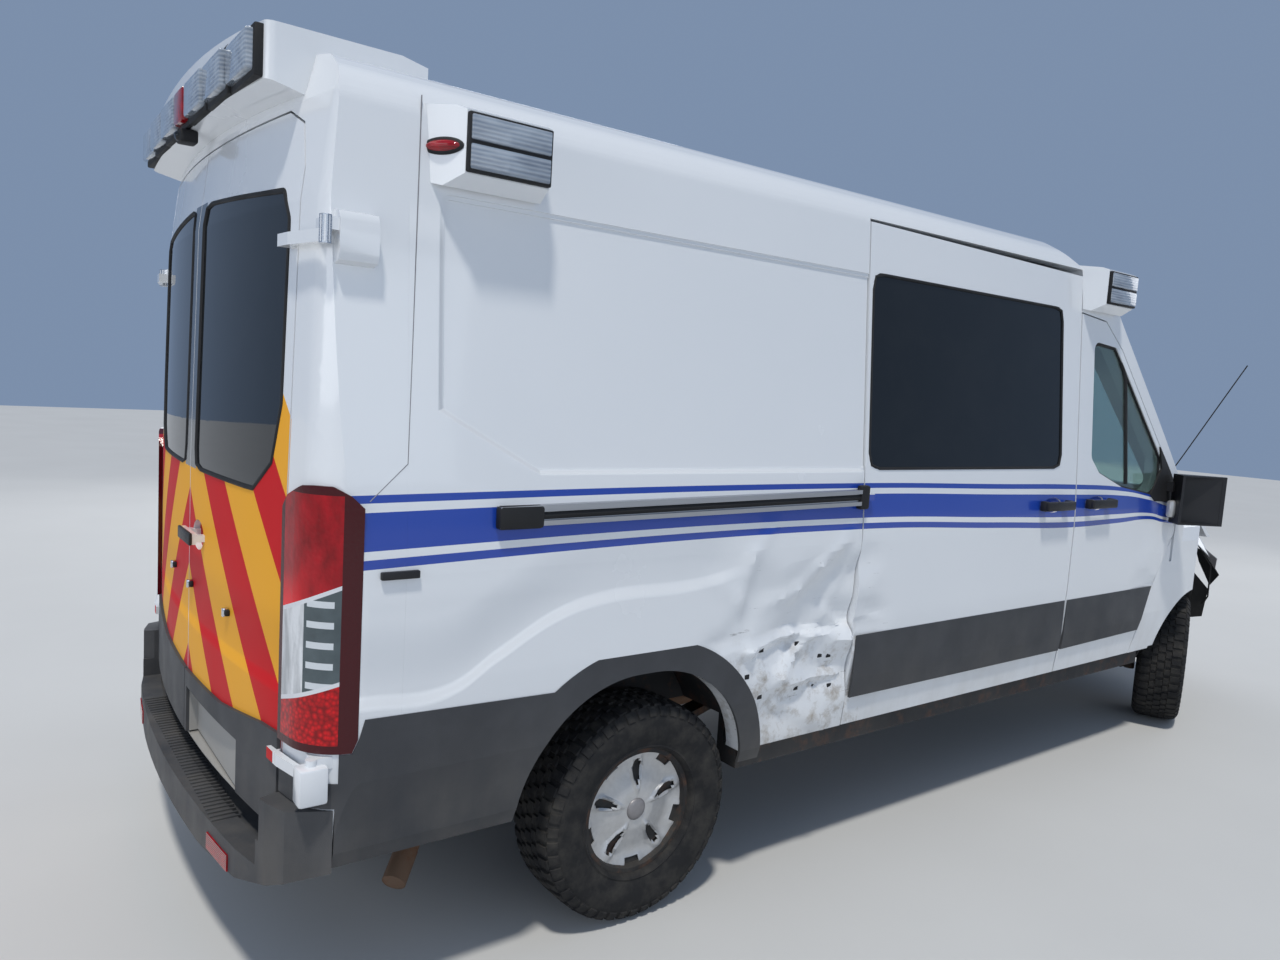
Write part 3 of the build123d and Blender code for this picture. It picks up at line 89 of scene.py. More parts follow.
def light_studio():
    world = bpy.data.worlds.new("studio")
    bpy.context.scene.world = world
    world.use_nodes = True
    background = world.node_tree.nodes["Background"]
    background.inputs["Color"].default_value = (0.50, 0.68, 1.0, 1)
    background.inputs["Strength"].default_value = 0.50
    bpy.context.scene.view_settings.view_transform = "Standard"
    bpy.context.scene.view_settings.exposure = -0.30
    data = bpy.data.lights.new("key", "SUN")
    data.energy = 2.7
    data.angle = math.radians(5)
    data.color = (1, 0.965, 0.90)
    key = bpy.data.objects.new("key", data)
    bpy.context.scene.collection.objects.link(key)
    key.rotation_euler = Vector((0.24, 0.27, -0.93)).to_track_quat("-Z", "Y").to_euler()
    area_light("side_fill", (-2.5, -9.0, 3.0), (-0.5, 0, 1.0), (9, 3), 110, (0.86, 0.93, 1))
    area_light("rear_fill", (-9.5, -1.5, 3.0), (-2.5, 0, 1.3), (5, 3), 120, (0.95, 0.97, 1))
    area_light("left_fill", (2.0, 9.0, 5.0), (0, 0, 1.0), (7, 4), 260)
    area_light("front_fill", (10.0, -1.0, 4.0), (2.0, 0, 1.0), (5, 4), 90)


class Finish:
    """A material's node tree with short calls for the nodes that these finishes use."""

    def __init__(self, name):
        self.material = bpy.data.materials.new(name)
        self.material.use_nodes = True
        self.tree = self.material.node_tree
        self.shader = self.tree.nodes["Principled BSDF"]
        coordinates = self.tree.nodes.new("ShaderNodeTexCoord")
        self.place = coordinates.outputs["Object"]
        self.split = self.tree.nodes.new("ShaderNodeSeparateXYZ")
        self.tree.links.new(self.place, self.split.inputs[0])
        self.x, self.y, self.z = self.split.outputs

    def put(self, socket, value):
        if isinstance(value, bpy.types.NodeSocket):
            self.tree.links.new(value, socket)
        elif isinstance(value, (tuple, list)) and len(value) == 3 and len(socket.default_value) == 4:
            socket.default_value = (*value, 1)
        else:
            socket.default_value = value

    def set(self, **values):
        names = {"colour": "Base Color", "rough": "Roughness", "metal": "Metallic",
                 "clear": "Transmission Weight",
                 "ior": "IOR", "coat": "Coat Weight", "coat_rough": "Coat Roughness",
                 "sheen": "Sheen Weight", "specular": "Specular IOR Level"}
        for name, value in values.items():
            self.put(self.shader.inputs[names[name]], value)
        return self

    def math(self, operation, a, b=0.0, c=0.0, clamp=False):
        node = self.tree.nodes.new("ShaderNodeMath")
        node.operation = operation
        node.use_clamp = clamp
        for socket, value in zip(node.inputs, (a, b, c)):
            self.put(socket, value)
        return node.outputs[0]

    def mix(self, amount, a, b, blend="MIX"):
        node = self.tree.nodes.new("ShaderNodeMix")
        node.data_type = "RGBA"
        node.blend_type = blend
        self.put(node.inputs[0], amount)
        self.put(node.inputs[6], a)
        self.put(node.inputs[7], b)
        return node.outputs[2]

    def span(self, value, low, high, to_low=0.0, to_high=1.0, smooth=False):
        node = self.tree.nodes.new("ShaderNodeMapRange")
        node.interpolation_type = "SMOOTHSTEP" if smooth else "LINEAR"
        for socket, number in zip(node.inputs, (value, low, high, to_low, to_high)):
            self.put(socket, number)
        return node.outputs[0]

    def noise(self, scale, detail=4.0, rough=0.5, stretch=None, warp=0.0):
        node = self.tree.nodes.new("ShaderNodeTexNoise")
        node.inputs["Scale"].default_value = scale
        node.inputs["Detail"].default_value = detail
        node.inputs["Roughness"].default_value = rough
        node.inputs["Distortion"].default_value = warp
        self.tree.links.new(self.stretched(stretch), node.inputs["Vector"])
        return node.outputs["Fac"]

    def cells(self, scale, stretch=None):
        node = self.tree.nodes.new("ShaderNodeTexVoronoi")
        node.inputs["Scale"].default_value = scale
        self.tree.links.new(self.stretched(stretch), node.inputs["Vector"])
        return node.outputs["Distance"]

    def stretched(self, stretch):
        if stretch is None:
            return self.place
        node = self.tree.nodes.new("ShaderNodeMapping")
        node.inputs["Scale"].default_value = stretch
        self.tree.links.new(self.place, node.inputs["Vector"])
        return node.outputs[0]

    def curve(self, value, points):
        """A smooth function of value: points are (value, result), all between 0 and 1."""
        node = self.tree.nodes.new("ShaderNodeFloatCurve")
        line = node.mapping.curves[0]
        while len(line.points) < len(points):
            line.points.new(0.5, 0.5)
        for point, (at, result) in zip(line.points, points):
            point.location = (at, result)
            point.handle_type = "AUTO"
        node.mapping.update()
        self.put(node.inputs["Value"], value)
        return node.outputs[0]

    def bump(self, height, strength=0.3, distance=0.002, normal=None):
        node = self.tree.nodes.new("ShaderNodeBump")
        node.inputs["Strength"].default_value = strength
        node.inputs["Distance"].default_value = distance
        self.put(node.inputs["Height"], height)
        if normal is not None:
            self.put(node.inputs["Normal"], normal)
        self.put(self.shader.inputs["Normal"], node.outputs[0])
        return node.outputs[0]

    def over(self, value, limit):
        return self.math("GREATER_THAN", value, limit)

    def under(self, value, limit):
        return self.math("LESS_THAN", value, limit)

    def between(self, value, low, high):
        """1 where value lies between low and high, else 0."""
        return self.math("MULTIPLY", self.over(value, low), self.under(value, high))

    def both(self, *values):
        """The product of several values between 0 and 1."""
        result = values[0]
        for value in values[1:]:
            result = self.math("MULTIPLY", result, value)
        return result

    def waves(self, value, width):
        """A smooth wave between 0 and 1 along value, this wide from peak to peak."""
        turn = self.math("MULTIPLY", value, 2 * math.pi / width)
        return self.math("MULTIPLY_ADD", self.math("SINE", turn), 0.5, 0.5)

    def outward(self, face):
        """How far a face looks away from the van's middle, from -1 to 1."""
        return self.both(self.math("SIGN", self.y), face[1])

    def facing(self):
        """The surface's normal in the piece's own axes, split in x, y and z."""
        geometry = self.tree.nodes.new("ShaderNodeNewGeometry")
        split = self.tree.nodes.new("ShaderNodeSeparateXYZ")
        turn = self.tree.nodes.new("ShaderNodeVectorTransform")
        turn.vector_type = "NORMAL"
        turn.convert_from = "WORLD"
        turn.convert_to = "OBJECT"
        self.tree.links.new(geometry.outputs["True Normal"], turn.inputs[0])
        self.tree.links.new(turn.outputs[0], split.inputs[0])
        return split.outputs


white = (0.80, 0.815, 0.83)
stripe_blue = (0.012, 0.055, 0.37)
chevron_red = (0.58, 0.010, 0.014)
chevron_amber = (0.86, 0.40, 0.030)
plate_recess_grey_and_shade = (0.36, 0.35, 0.33)
cladding_grey = (0.046, 0.048, 0.053)
# Plate recess grey: the bare panel's colour, darkened by painted shade of the recess
dust_brown = (0.33, 0.29, 0.235)
glass_black = (0.006, 0.008, 0.010)
scuff_brown = (0.30, 0.245, 0.18)
scratch_grey = (0.16, 0.15, 0.15)

# Chevrons: rise per metre from the middle, foot, height of a pair, the red share, and their ends
chevron_rise = 1.15
chevron_foot = 0.546
chevron_pair = 0.51
red_share = 0.48
chevron_slanted_top = 2.53
chevron_top = 1.66
door_edge = 0.838
rear_skin = -2.845
side_skin = 0.965
stripe_rear, stripe_front = -2.80, 1.75

# Side stripe edges along the van: x, height of the top edge, height of the bottom edge
stripe_edges = [
    (-2.75, 1.397, 1.214), (-0.88, 1.404, 1.238), (-0.03, 1.389, 1.206), (0.56, 1.379, 1.184),
    (0.98, 1.362, 1.188), (1.29, 1.322, 1.195), (1.46, 1.288, 1.172), (1.75, 1.24, 1.15),
]
# Share of the stripe's height where each colour starts, from the bottom edge
stripe_bands = [(0.0, True), (0.127, False), (0.243, True), (0.765, False), (0.888, True)]


def dirt(finish, colour, low_z=0.3, high_z=1.1, amount=0.5):
    """Dust that thickens towards the ground, mixed over a colour."""
    height = finish.span(finish.z, low_z, high_z, 1.0, 0.0, smooth=True)
    patches = finish.span(finish.noise(3.2, 8, 0.62), 0.38, 0.72)
    streaks = finish.span(finish.noise(9.0, 5, 0.6, stretch=(1, 1, 0.16)), 0.42, 0.75)
    cover = finish.both(height, finish.math("ADD", patches, finish.both(streaks, 0.6), clamp=True))
    return finish.mix(finish.both(cover, amount), colour, dust_brown)


def striped(finish, base, face):
    """The blue side stripes over a base colour."""
    along = finish.span(finish.x, -3.0, 2.0)
    tops = [((x + 3.0) / 5.0, (top - 1.0) / 0.5) for x, top, low in stripe_edges]
    lows = [((x + 3.0) / 5.0, (low - 1.0) / 0.5) for x, top, low in stripe_edges]
    top = finish.math("MULTIPLY_ADD", finish.curve(along, tops), 0.5, 1.0)
    low = finish.math("MULTIPLY_ADD", finish.curve(along, lows), 0.5, 1.0)
    share = finish.math("DIVIDE", finish.math("SUBTRACT", finish.z, low), finish.math("SUBTRACT", top, low))
    bands = finish.tree.nodes.new("ShaderNodeValToRGB")
    bands.color_ramp.interpolation = "CONSTANT"
    stops = bands.color_ramp.elements
    while len(stops) < len(stripe_bands):
        stops.new(0.5)
    for stop, (start, is_blue) in zip(stops, stripe_bands):
        stop.position = start
        stop.color = (1, 1, 1, 1) if is_blue else (0, 0, 0, 1)
    finish.put(bands.inputs[0], share)
    sideways = finish.over(finish.outward(face), 0.55)
    outside = finish.over(finish.math("ABSOLUTE", finish.y), side_skin)
    amount = finish.both(bands.outputs[0], finish.between(share, 0.0, 1.0), sideways, outside,
                         finish.between(finish.x, stripe_rear, stripe_front))
    return finish.mix(amount, base, stripe_blue)


def chevroned(finish, base, face):
    """Red and amber chevrons on the rear doors over a base colour, and 0 where they lie, else 1."""
    from_middle = finish.math("ABSOLUTE", finish.y)
    slanted = finish.math("MULTIPLY_ADD", from_middle, chevron_rise, finish.z)
    pairs = finish.math("DIVIDE", finish.math("SUBTRACT", slanted, chevron_foot), chevron_pair)
    chevron = finish.mix(finish.under(finish.math("FRACT", pairs), red_share), chevron_amber, chevron_red)
    rear = finish.both(
        finish.under(finish.x, rear_skin), finish.under(from_middle, door_edge),
        finish.under(face[0], -0.5), finish.under(slanted, chevron_slanted_top),
        finish.under(finish.z, chevron_top))
    colour = finish.mix(rear, base, chevron)
    vinyl = finish.math("SUBTRACT", 1.0, rear)
    between_windows = finish.both(
        finish.under(from_middle, 0.078), finish.under(finish.x, -2.83),
        finish.between(finish.z, 1.362, 2.174), finish.under(face[0], -0.3))
    colour = finish.mix(between_windows, colour, glass_black)
    vinyl = finish.math("MAXIMUM", vinyl, between_windows)
    # Below the chevrons' foot, round the plate recess, the rear turns grey: partly the bare panel's colour,
    # partly painted shade in the recess
    low = finish.both(finish.under(finish.x, -2.80), finish.under(finish.z, 0.69),
                      finish.under(from_middle, door_edge))
    return finish.mix(low, colour, plate_recess_grey_and_shade), vinyl


# The crease over the rear wheels: x, height
arch_line = [(-2.80, 0.890), (-2.717, 0.890), (-2.518, 0.885), (-2.348, 0.971), (-2.164, 1.063),
             (-2.030, 1.095), (-1.653, 1.110), (-1.398, 1.157)]


def arch_crease(finish):
    """Height of the wheel arch's flare: 1 below the crease, lower just above it."""
    along = finish.span(finish.x, -3.0, -1.0)
    crease = finish.curve(along, [((x + 3.0) / 2.0, z - 0.5) for x, z in arch_line])
    above = finish.math("SUBTRACT", finish.z, finish.math("ADD", crease, 0.5))
    step = finish.span(above, -0.035, 0.012, 0.0, 1.0, smooth=True)
    fade = finish.span(above, 0.012, 0.20, 1.0, 0.0, smooth=True)
    ends = finish.span(finish.x, -1.62, -1.42, 1.0, 0.0, smooth=True)
    return finish.math("SUBTRACT", 1.0, finish.both(step, fade, ends))


# The pressing in the upper side panel: its foot, its rear edge and the length of its slanted corner
pressing_foot = 1.443
pressing_rear = -2.540
pressing_corner = 0.30


def pressed_panel(finish):
    """Height of the shallow pressing in the upper side panel: 0 inside it, 1 outside."""
    over_foot = finish.math("SUBTRACT", finish.z, pressing_foot)
    past_rear = finish.math("SUBTRACT", finish.x, pressing_rear)
    to_corner = finish.math("SUBTRACT", pressing_corner, past_rear, clamp=True)
    corner = finish.math("MULTIPLY_ADD", to_corner, -0.55, over_foot)
    inside = finish.math("MINIMUM", corner, finish.math("MINIMUM", past_rear, over_foot))
    return finish.span(inside, -0.002, 0.016, 1.0, 0.0, smooth=True)


def paint_finish():
    """White paint with the side stripes, the rear chevrons, fine dust and crash scuffs."""
    finish = Finish("white_paint")
    face = finish.facing()
    base = finish.mix(finish.noise(1.3, 3), white, (0.755, 0.775, 0.795))
    colour, glossy = chevroned(finish, striped(finish, base, face), face)
    crash = finish.both(finish.between(finish.x, -1.50, -0.80), finish.under(finish.y, -0.90),
                        finish.span(finish.z, 0.92, 0.74), finish.span(finish.noise(13, 9, 0.7), 0.50, 0.68))
    colour = finish.mix(finish.both(crash, 0.75), colour, scuff_brown)
    scratches = finish.both(finish.between(finish.x, -1.50, -0.70), finish.under(finish.y, -0.90),
                            finish.between(finish.z, 0.5, 1.16),
                            finish.span(finish.noise(34, 6, 0.7, stretch=(0.18, 1, 1.6)), 0.64, 0.69))
    colour = finish.mix(finish.both(scratches, 0.6), colour, scratch_grey)
    matt = finish.span(finish.noise(2.2, 6), 0.3, 0.7, 0.50, 0.60)
    finish.set(colour=dirt(finish, colour, 0.35, 0.95, 0.28),
               rough=finish.math("MULTIPLY_ADD", glossy, -0.32, matt),
               coat=finish.both(glossy, 0.7), coat_rough=0.05,
               specular=finish.math("MULTIPLY_ADD", glossy, 0.35, 0.15))
    grain = finish.bump(finish.noise(160, 2), 0.04, 0.0005)
    side_panel = finish.both(finish.between(finish.x, -2.62, -0.905),
                             finish.over(finish.outward(face), 0.85),
                             finish.span(finish.z, 2.02, 2.12, 1.0, 0.0, smooth=True))
    pressing = finish.bump(finish.both(pressed_panel(finish), side_panel), 0.9, 0.010, grain)
    finish.bump(arch_crease(finish), 0.9, 0.018, pressing)
    return finish.material


def plastic_finish(name, colour, rough=0.55, grain=650, amount=0.35, worn=0.5):
    finish = Finish(name)
    mottle = finish.noise(5.5, 7, 0.6)
    lighter = tuple(min(1.0, channel * 1.6 + 0.008) for channel in colour)
    shade = finish.mix(finish.both(finish.span(mottle, 0.45, 0.72), worn), colour, lighter)
    finish.set(colour=dirt(finish, shade, 0.2, 0.9, amount), specular=0.4,
               rough=finish.span(finish.noise(7, 5), 0.3, 0.7, rough - 0.06, rough + 0.12))
    finish.bump(finish.cells(grain), 0.35, 0.0009)
    return finish.material


def glass_finish(name, colour, clear, rough=0.02, smear_amount=0.03):
    finish = Finish(name)
    smear = finish.span(finish.noise(3.5, 8, 0.65), 0.45, 0.8, 0.0, 1.0)
    finish.set(colour=finish.mix(finish.both(smear, smear_amount), colour, (0.45, 0.43, 0.40)), clear=clear,
               rough=finish.span(smear, 0, 1, rough, rough + 0.04), ior=1.5)
    return finish.material


def lens_finish(name, colour, deep, crest_highlight, rib=0.011, clear=0.35, coat=1.0):
    """A moulded lens: fine level ribs over a reflector with darker patches, and a painted highlight in a
    lighter colour along the ribs' crests.
    """
    finish = Finish(name)
    ribs = finish.waves(finish.z, rib)
    shade = finish.mix(finish.span(finish.noise(26, 3, stretch=(0.3, 1, 1.4)), 0.35, 0.7), colour, deep)
    # Painted highlight: the ribs' crests mix towards the lighter highlight colour
    finish.set(colour=finish.mix(finish.both(ribs, 0.35), shade, crest_highlight), clear=clear, rough=0.06,
               ior=1.49, coat=coat, coat_rough=0.03)
    finish.bump(ribs, 0.35, 0.002)
    return finish.material


def tail_lamp_finish():
    """Red lens in a dark red border, with a clear band between two slanted lines and small facets below."""
    finish = Finish("red_lens")
    from_middle = finish.math("ABSOLUTE", finish.y)
    across = finish.math("ADD", finish.math("SUBTRACT", from_middle, 0.843),
                         finish.math("ADD", finish.x, 2.865))
    upper = finish.math("MULTIPLY_ADD", across, 0.30, 1.100)
    lower = finish.math("MULTIPLY_ADD", across, 0.26, 0.861)
    above = finish.math("SUBTRACT", upper, finish.z)
    below = finish.math("SUBTRACT", finish.z, lower)
    inside = finish.between(across, 0.012, 0.262)
    clear = finish.both(finish.over(above, 0.0), finish.over(below, 0.0), inside)
    facets = finish.cells(95, stretch=(1, 1, 1))
    facet_light = finish.span(facets, 0.0, 0.8)
    top_red = finish.mix(finish.span(finish.noise(24, 5, 0.6, stretch=(1, 1, 0.5)), 0.35, 0.7),
                         (0.20, 0.0015, 0.004), (0.42, 0.003, 0.010))
    glow = finish.both(finish.span(above, 0.0, -0.10, 1.0, 0.0), finish.under(above, 0.0),
                       finish.span(across, 0.16, 0.05))
    top_red = finish.mix(glow, top_red, (0.85, 0.004, 0.012))
    low_red = finish.mix(facet_light, (0.75, 0.006, 0.010), (0.22, 0.002, 0.004))
    red = finish.mix(finish.over(finish.z, 0.98), low_red, top_red)
    plain = finish.mix(finish.span(finish.noise(30, 6, 0.6, stretch=(1, 1, 0.2)), 0.4, 0.65),
                       (0.42, 0.43, 0.44), (0.72, 0.73, 0.74))
    ribbed = finish.mix(finish.noise(22, 3), (0.045, 0.060, 0.066), (0.11, 0.14, 0.15))
    rib = finish.under(finish.math("FRACT", finish.math("DIVIDE", finish.z, 0.051)), 0.32)
    ribbed = finish.mix(finish.both(rib, finish.between(across, 0.14, 0.24)), ribbed, (0.62, 0.65, 0.67))
    band = finish.mix(finish.over(across, 0.128), plain, ribbed)
    frame_line = finish.over(finish.math("MINIMUM", above, below), 0.011)
    band = finish.mix(frame_line, (0.68, 0.69, 0.71), band)
    colour = finish.mix(clear, red, band)
    border = finish.math("SUBTRACT", 1.0, finish.both(
        finish.between(across, 0.012, 0.262), finish.between(finish.z, 0.778, 1.396)), clamp=True)
    colour = finish.mix(border, colour, (0.055, 0.0015, 0.004))
    finish.set(colour=colour, rough=0.12, specular=0.3, coat=0.25, coat_rough=0.03)
    finish.bump(facets, 0.2, 0.002)
    return finish.material


def metal_finish(name, colour, rough=0.3, brushed=(1, 1, 1), metal=1.0, amount=0.2):
    finish = Finish(name)
    streak = finish.noise(60, 4, 0.6, stretch=brushed)
    worn = tuple(channel * 0.78 for channel in colour)
    finish.set(colour=dirt(finish, finish.mix(streak, colour, worn), 0.1, 0.9, amount), metal=metal,
               rough=finish.span(streak, 0.3, 0.7, rough, rough + 0.14))
    finish.bump(streak, 0.10, 0.0005)
    return finish.material


def steel_finish(name, colour, rust, dust=0.4):
    """Painted chassis steel with rust that comes through in patches."""
    finish = Finish(name)
    spots = finish.span(finish.noise(14, 8, 0.65), 0.52, 0.66)
    rusty = finish.mix(finish.noise(40, 4), (0.16, 0.055, 0.02), (0.28, 0.12, 0.05))
    shade = finish.mix(finish.both(spots, rust), colour, rusty)
    finish.set(colour=dirt(finish, shade, 0.0, 0.8, dust), rough=0.72, metal=0.25)
    finish.bump(finish.noise(120, 6), 0.4, 0.0012)
    return finish.material


def tyre_finish():
    finish = Finish("tyre")
    dust = finish.span(finish.noise(16, 7, 0.62), 0.42, 0.75)
    shade = finish.mix(finish.both(dust, 0.5), (0.014, 0.014, 0.015), (0.080, 0.073, 0.062))
    finish.set(colour=shade, rough=0.80, specular=0.3)
    finish.bump(finish.noise(260, 5), 0.3, 0.0008)
    return finish.material


def fabric_finish():
    finish = Finish("seat_fabric")
    weave = finish.cells(900)
    finish.set(colour=finish.mix(finish.noise(30, 3), (0.045, 0.046, 0.05), (0.085, 0.086, 0.092)),
               rough=0.9, sheen=0.3)
    finish.bump(weave, 0.5, 0.001)
    return finish.material


finishes = {
    "white_paint": paint_finish(),
    "clear_glass": glass_finish("clear_glass", (0.60, 0.76, 0.72), 0.95),
    "dark_glass": glass_finish("dark_glass", (0.006, 0.008, 0.010), 0.0, 0.02, 0.012),
    "aluminium": metal_finish("aluminium", (0.52, 0.53, 0.55), 0.26, (0.05, 1, 1)),
    # The last colour given to each lens is its painted highlight along the rib crests
    "clear_lens": lens_finish("clear_lens", (0.50, 0.58, 0.68), (0.20, 0.25, 0.33), (0.86, 0.90, 0.95)),
    "red_marker": lens_finish("red_marker", (0.34, 0.004, 0.010), (0.12, 0.002, 0.005),
                              (0.42, 0.008, 0.012), 0.006, 0.0, 0.2),
    "black_plastic": plastic_finish("black_plastic", (0.014, 0.014, 0.016), 0.42, 900, 0.10, 0.2),
    "grey_plastic": plastic_finish("grey_plastic", cladding_grey, 0.56, 650, 0.22, 0.35),
    "rubber": plastic_finish("rubber", (0.010, 0.010, 0.011), 0.62, 500, 0.12, 0.2),
    "underbody": steel_finish("underbody", (0.030, 0.030, 0.032), 0.3, 0.25),
    "red_lens": tail_lamp_finish(),
    "chassis_steel": steel_finish("chassis_steel", (0.025, 0.025, 0.026), 0.6, 0.25),
    "wheel_steel": steel_finish("wheel_steel", (0.020, 0.020, 0.021), 0.35, 0.15),
    "exhaust_steel": steel_finish("exhaust_steel", (0.22, 0.13, 0.08), 0.8, 0.2),
    "seat_fabric": fabric_finish(),
    "tyre": tyre_finish(),
    "silver_cover": metal_finish("silver_cover", (0.62, 0.625, 0.63), 0.30, (1, 1, 1), 0.55, 0.25),
    "cap_grey": metal_finish("cap_grey", (0.30, 0.29, 0.30), 0.38, (1, 1, 1), 0.4, 0.3),
    "chrome": metal_finish("chrome", (0.80, 0.81, 0.83), 0.06, (1, 1, 1), 1.0, 0.1),
    "hinge_steel": metal_finish("hinge_steel", (0.66, 0.67, 0.69), 0.20, (1, 1, 6), 1.0, 0.1),
}


def dress_nodes():
    """Give every CAD node the finish of its slot in the record, except the rims, which get dark wheel steel.
    """
    slots = {part["node"]: part["material_slot"] for part in frame["record"]["subparts"]}
    for name, node in nodes.items():
        node.data.materials.clear()
        finish = "wheel_steel" if name.startswith("rim_") else slots[name]
        node.data.materials.append(finishes[finish])


# Modelling helpers
def alone(piece=None):
    """Select this piece only, in object mode."""
    if bpy.context.object and bpy.context.object.mode != "OBJECT":
        bpy.ops.object.mode_set(mode="OBJECT")
    bpy.ops.object.select_all(action="DESELECT")
    if piece is not None:
        piece.select_set(True)
        bpy.context.view_layer.objects.active = piece


@contextmanager
def editing(piece):
    """Edit mode on this piece alone."""
    alone(piece)
    bpy.ops.object.mode_set(mode="EDIT")
    yield
    bpy.ops.object.mode_set(mode="OBJECT")


def pick(piece, test, kind="FACE"):
    """In edit mode, select only the faces, edges or corners that pass the test."""
    bpy.ops.mesh.select_mode(type=kind)
    bpy.ops.mesh.select_all(action="DESELECT")
    shape = bmesh.from_edit_mesh(piece.data)
    for part in {"FACE": shape.faces, "EDGE": shape.edges, "VERT": shape.verts}[kind]:
        if test(part):
            part.select_set(True)
    shape.select_flush_mode()
    bmesh.update_edit_mesh(piece.data)


def settled(piece, name, finish, body="root", smooth=35):
    """Apply the piece's place, name and dress it, and hang it on its body."""
    alone(piece)
    bpy.ops.object.transform_apply(**whole_mesh)
    bpy.ops.object.shade_smooth_by_angle(angle=math.radians(smooth))
    piece.name = name
    piece.data.name = name
    piece.data.materials.clear()
    piece.data.materials.append(finishes[finish])
    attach(piece, body)
    return piece


def block(name, low, high, finish, body="root", soft=0.003):
    """A box between two corners with rounded edges."""
    low, high = Vector(low), Vector(high)
    alone()
    bpy.ops.mesh.primitive_cube_add(size=1, location=(low + high) / 2)
    piece = bpy.context.object
    piece.scale = high - low
    bpy.ops.object.transform_apply(**whole_mesh)
    with editing(piece):
        bpy.ops.mesh.select_all(action="SELECT")
        bpy.ops.mesh.bevel(offset=min(soft, min(high - low) * 0.4), segments=2, affect="EDGES")
    return settled(piece, name, finish, body)


def strip(name, points, thickness, finish, body="root", closed=False):
    """A round cord through the points."""
    alone()
    bpy.ops.curve.primitive_nurbs_path_add(location=(0, 0, 0))
    cord = bpy.context.object
    cord.data.splines.clear()
    line = cord.data.splines.new("POLY")
    line.points.add(len(points) - 1)
    for knot, place in zip(line.points, points):
        knot.co = (*place, 1)
    line.use_cyclic_u = closed
    cord.data.bevel_depth = thickness / 2
    cord.data.bevel_resolution = 2
    cord.data.use_fill_caps = not closed
    bpy.ops.object.convert(target="MESH")
    return settled(bpy.context.object, name, finish, body)


def plate(name, outline, thickness, finish, body="root"):
    """A thin sheet with this outline."""
    alone()
    bpy.ops.mesh.primitive_circle_add(vertices=len(outline), radius=1, fill_type="NGON", location=(0, 0, 0))
    sheet = bpy.context.object
    for corner, place in zip(sheet.data.vertices, outline):
        corner.co = place
    solid = sheet.modifiers.new("thickness", "SOLIDIFY")
    solid.thickness = thickness
    solid.offset = 0
    bpy.ops.object.modifier_apply(modifier=solid.name)
    with editing(sheet):
        bpy.ops.mesh.select_all(action="SELECT")
        bpy.ops.mesh.normals_make_consistent(inside=False)
    return settled(sheet, name, finish, body)


def turned(profile, steps, closed=False):
    """A shape turned about the y axis: the profile is a list of (radius, place along the axis)."""
    alone()
    bpy.ops.mesh.primitive_circle_add(vertices=len(profile), radius=1, location=(0, 0, 0))
    piece = bpy.context.object
    with editing(piece):
        shape = bmesh.from_edit_mesh(piece.data)
        shape.verts.ensure_lookup_table()
        for corner, (radius, along) in zip(shape.verts, profile):
            corner.co = (radius, along, 0)
        bmesh.update_edit_mesh(piece.data)
        if not closed:
            ends = {0, len(profile) - 1}
            pick(piece, lambda edge: {corner.index for corner in edge.verts} == ends, "EDGE")
            bpy.ops.mesh.delete(type="EDGE_FACE")
        bpy.ops.mesh.select_all(action="SELECT")
        bpy.ops.mesh.spin(steps=steps, angle=2 * math.pi, center=(0, 0, 0), axis=(0, 1, 0))
        bpy.ops.mesh.select_all(action="SELECT")
        bpy.ops.mesh.remove_doubles(threshold=0.0001)
        bpy.ops.mesh.normals_make_consistent(inside=False)
    return piece


def copied(piece, place):
    """A copy with a mesh of its own, moved by a matrix."""
    alone(piece)
    bpy.ops.object.duplicate(linked=False)
    copy = bpy.context.object
    copy.matrix_world = place
    return copy


def discard(piece):
    alone(piece)
    bpy.ops.object.delete()


def frame_of(outward, place, size=(1, 1, 1)):
    """A matrix that turns local y outward and keeps local z as upright as it can."""
    along = Vector(outward).normalized()
    side = along.cross(Vector((0, 0, 1))).normalized()
    rise = side.cross(along)
    columns = (side * size[0], along * size[1], rise * size[2])
    matrix = Matrix(columns).transposed().to_4x4()
    matrix.translation = Vector(place)
    return matrix


@cache
def surface(node):
    """A CAD piece's faces, ready to be searched."""
    mesh = nodes[node].data
    corners = [corner.co.copy() for corner in mesh.vertices]
    return BVHTree.FromPolygons(corners, [tuple(face.vertices) for face in mesh.polygons])


def on_side(node, x, z, side=-1, lift=0.0):
    """The place on a piece's outer skin at x and z, seen from the side."""
    place = surface(node).ray_cast(Vector((x, side * 1.5, z)), Vector((0, -side, 0)))[0]
    if place is None:
        place = surface(node).find_nearest(Vector((x, side * 1.03, z)))[0]
    return Vector((x, place.y + side * lift, z))


def on_rear(node, y, z, lift=0.0):
    """The place on a piece's rear skin at y and z, seen from behind."""
    place = surface(node).ray_cast(Vector((-3.4, y, z)), Vector((1, 0, 0)))[0]
    if place is None:
        place = surface(node).find_nearest(Vector((-2.95, y, z)))[0]
    return Vector((place.x - lift, y, z))


def traced(points, spacing=0.06, closed=False):
    """Points along straight lines between the given ones, no further apart than the spacing."""
    result = []
    ends = points[1:] + (points[:1] if closed else [])
    for start, end in zip(points, ends):
        steps = max(1, round(math.dist(start, end) / spacing))
        result += [tuple(a + (b - a) * step / steps for a, b in zip(start, end)) for step in range(steps)]
    return result if closed else result + [points[-1]]


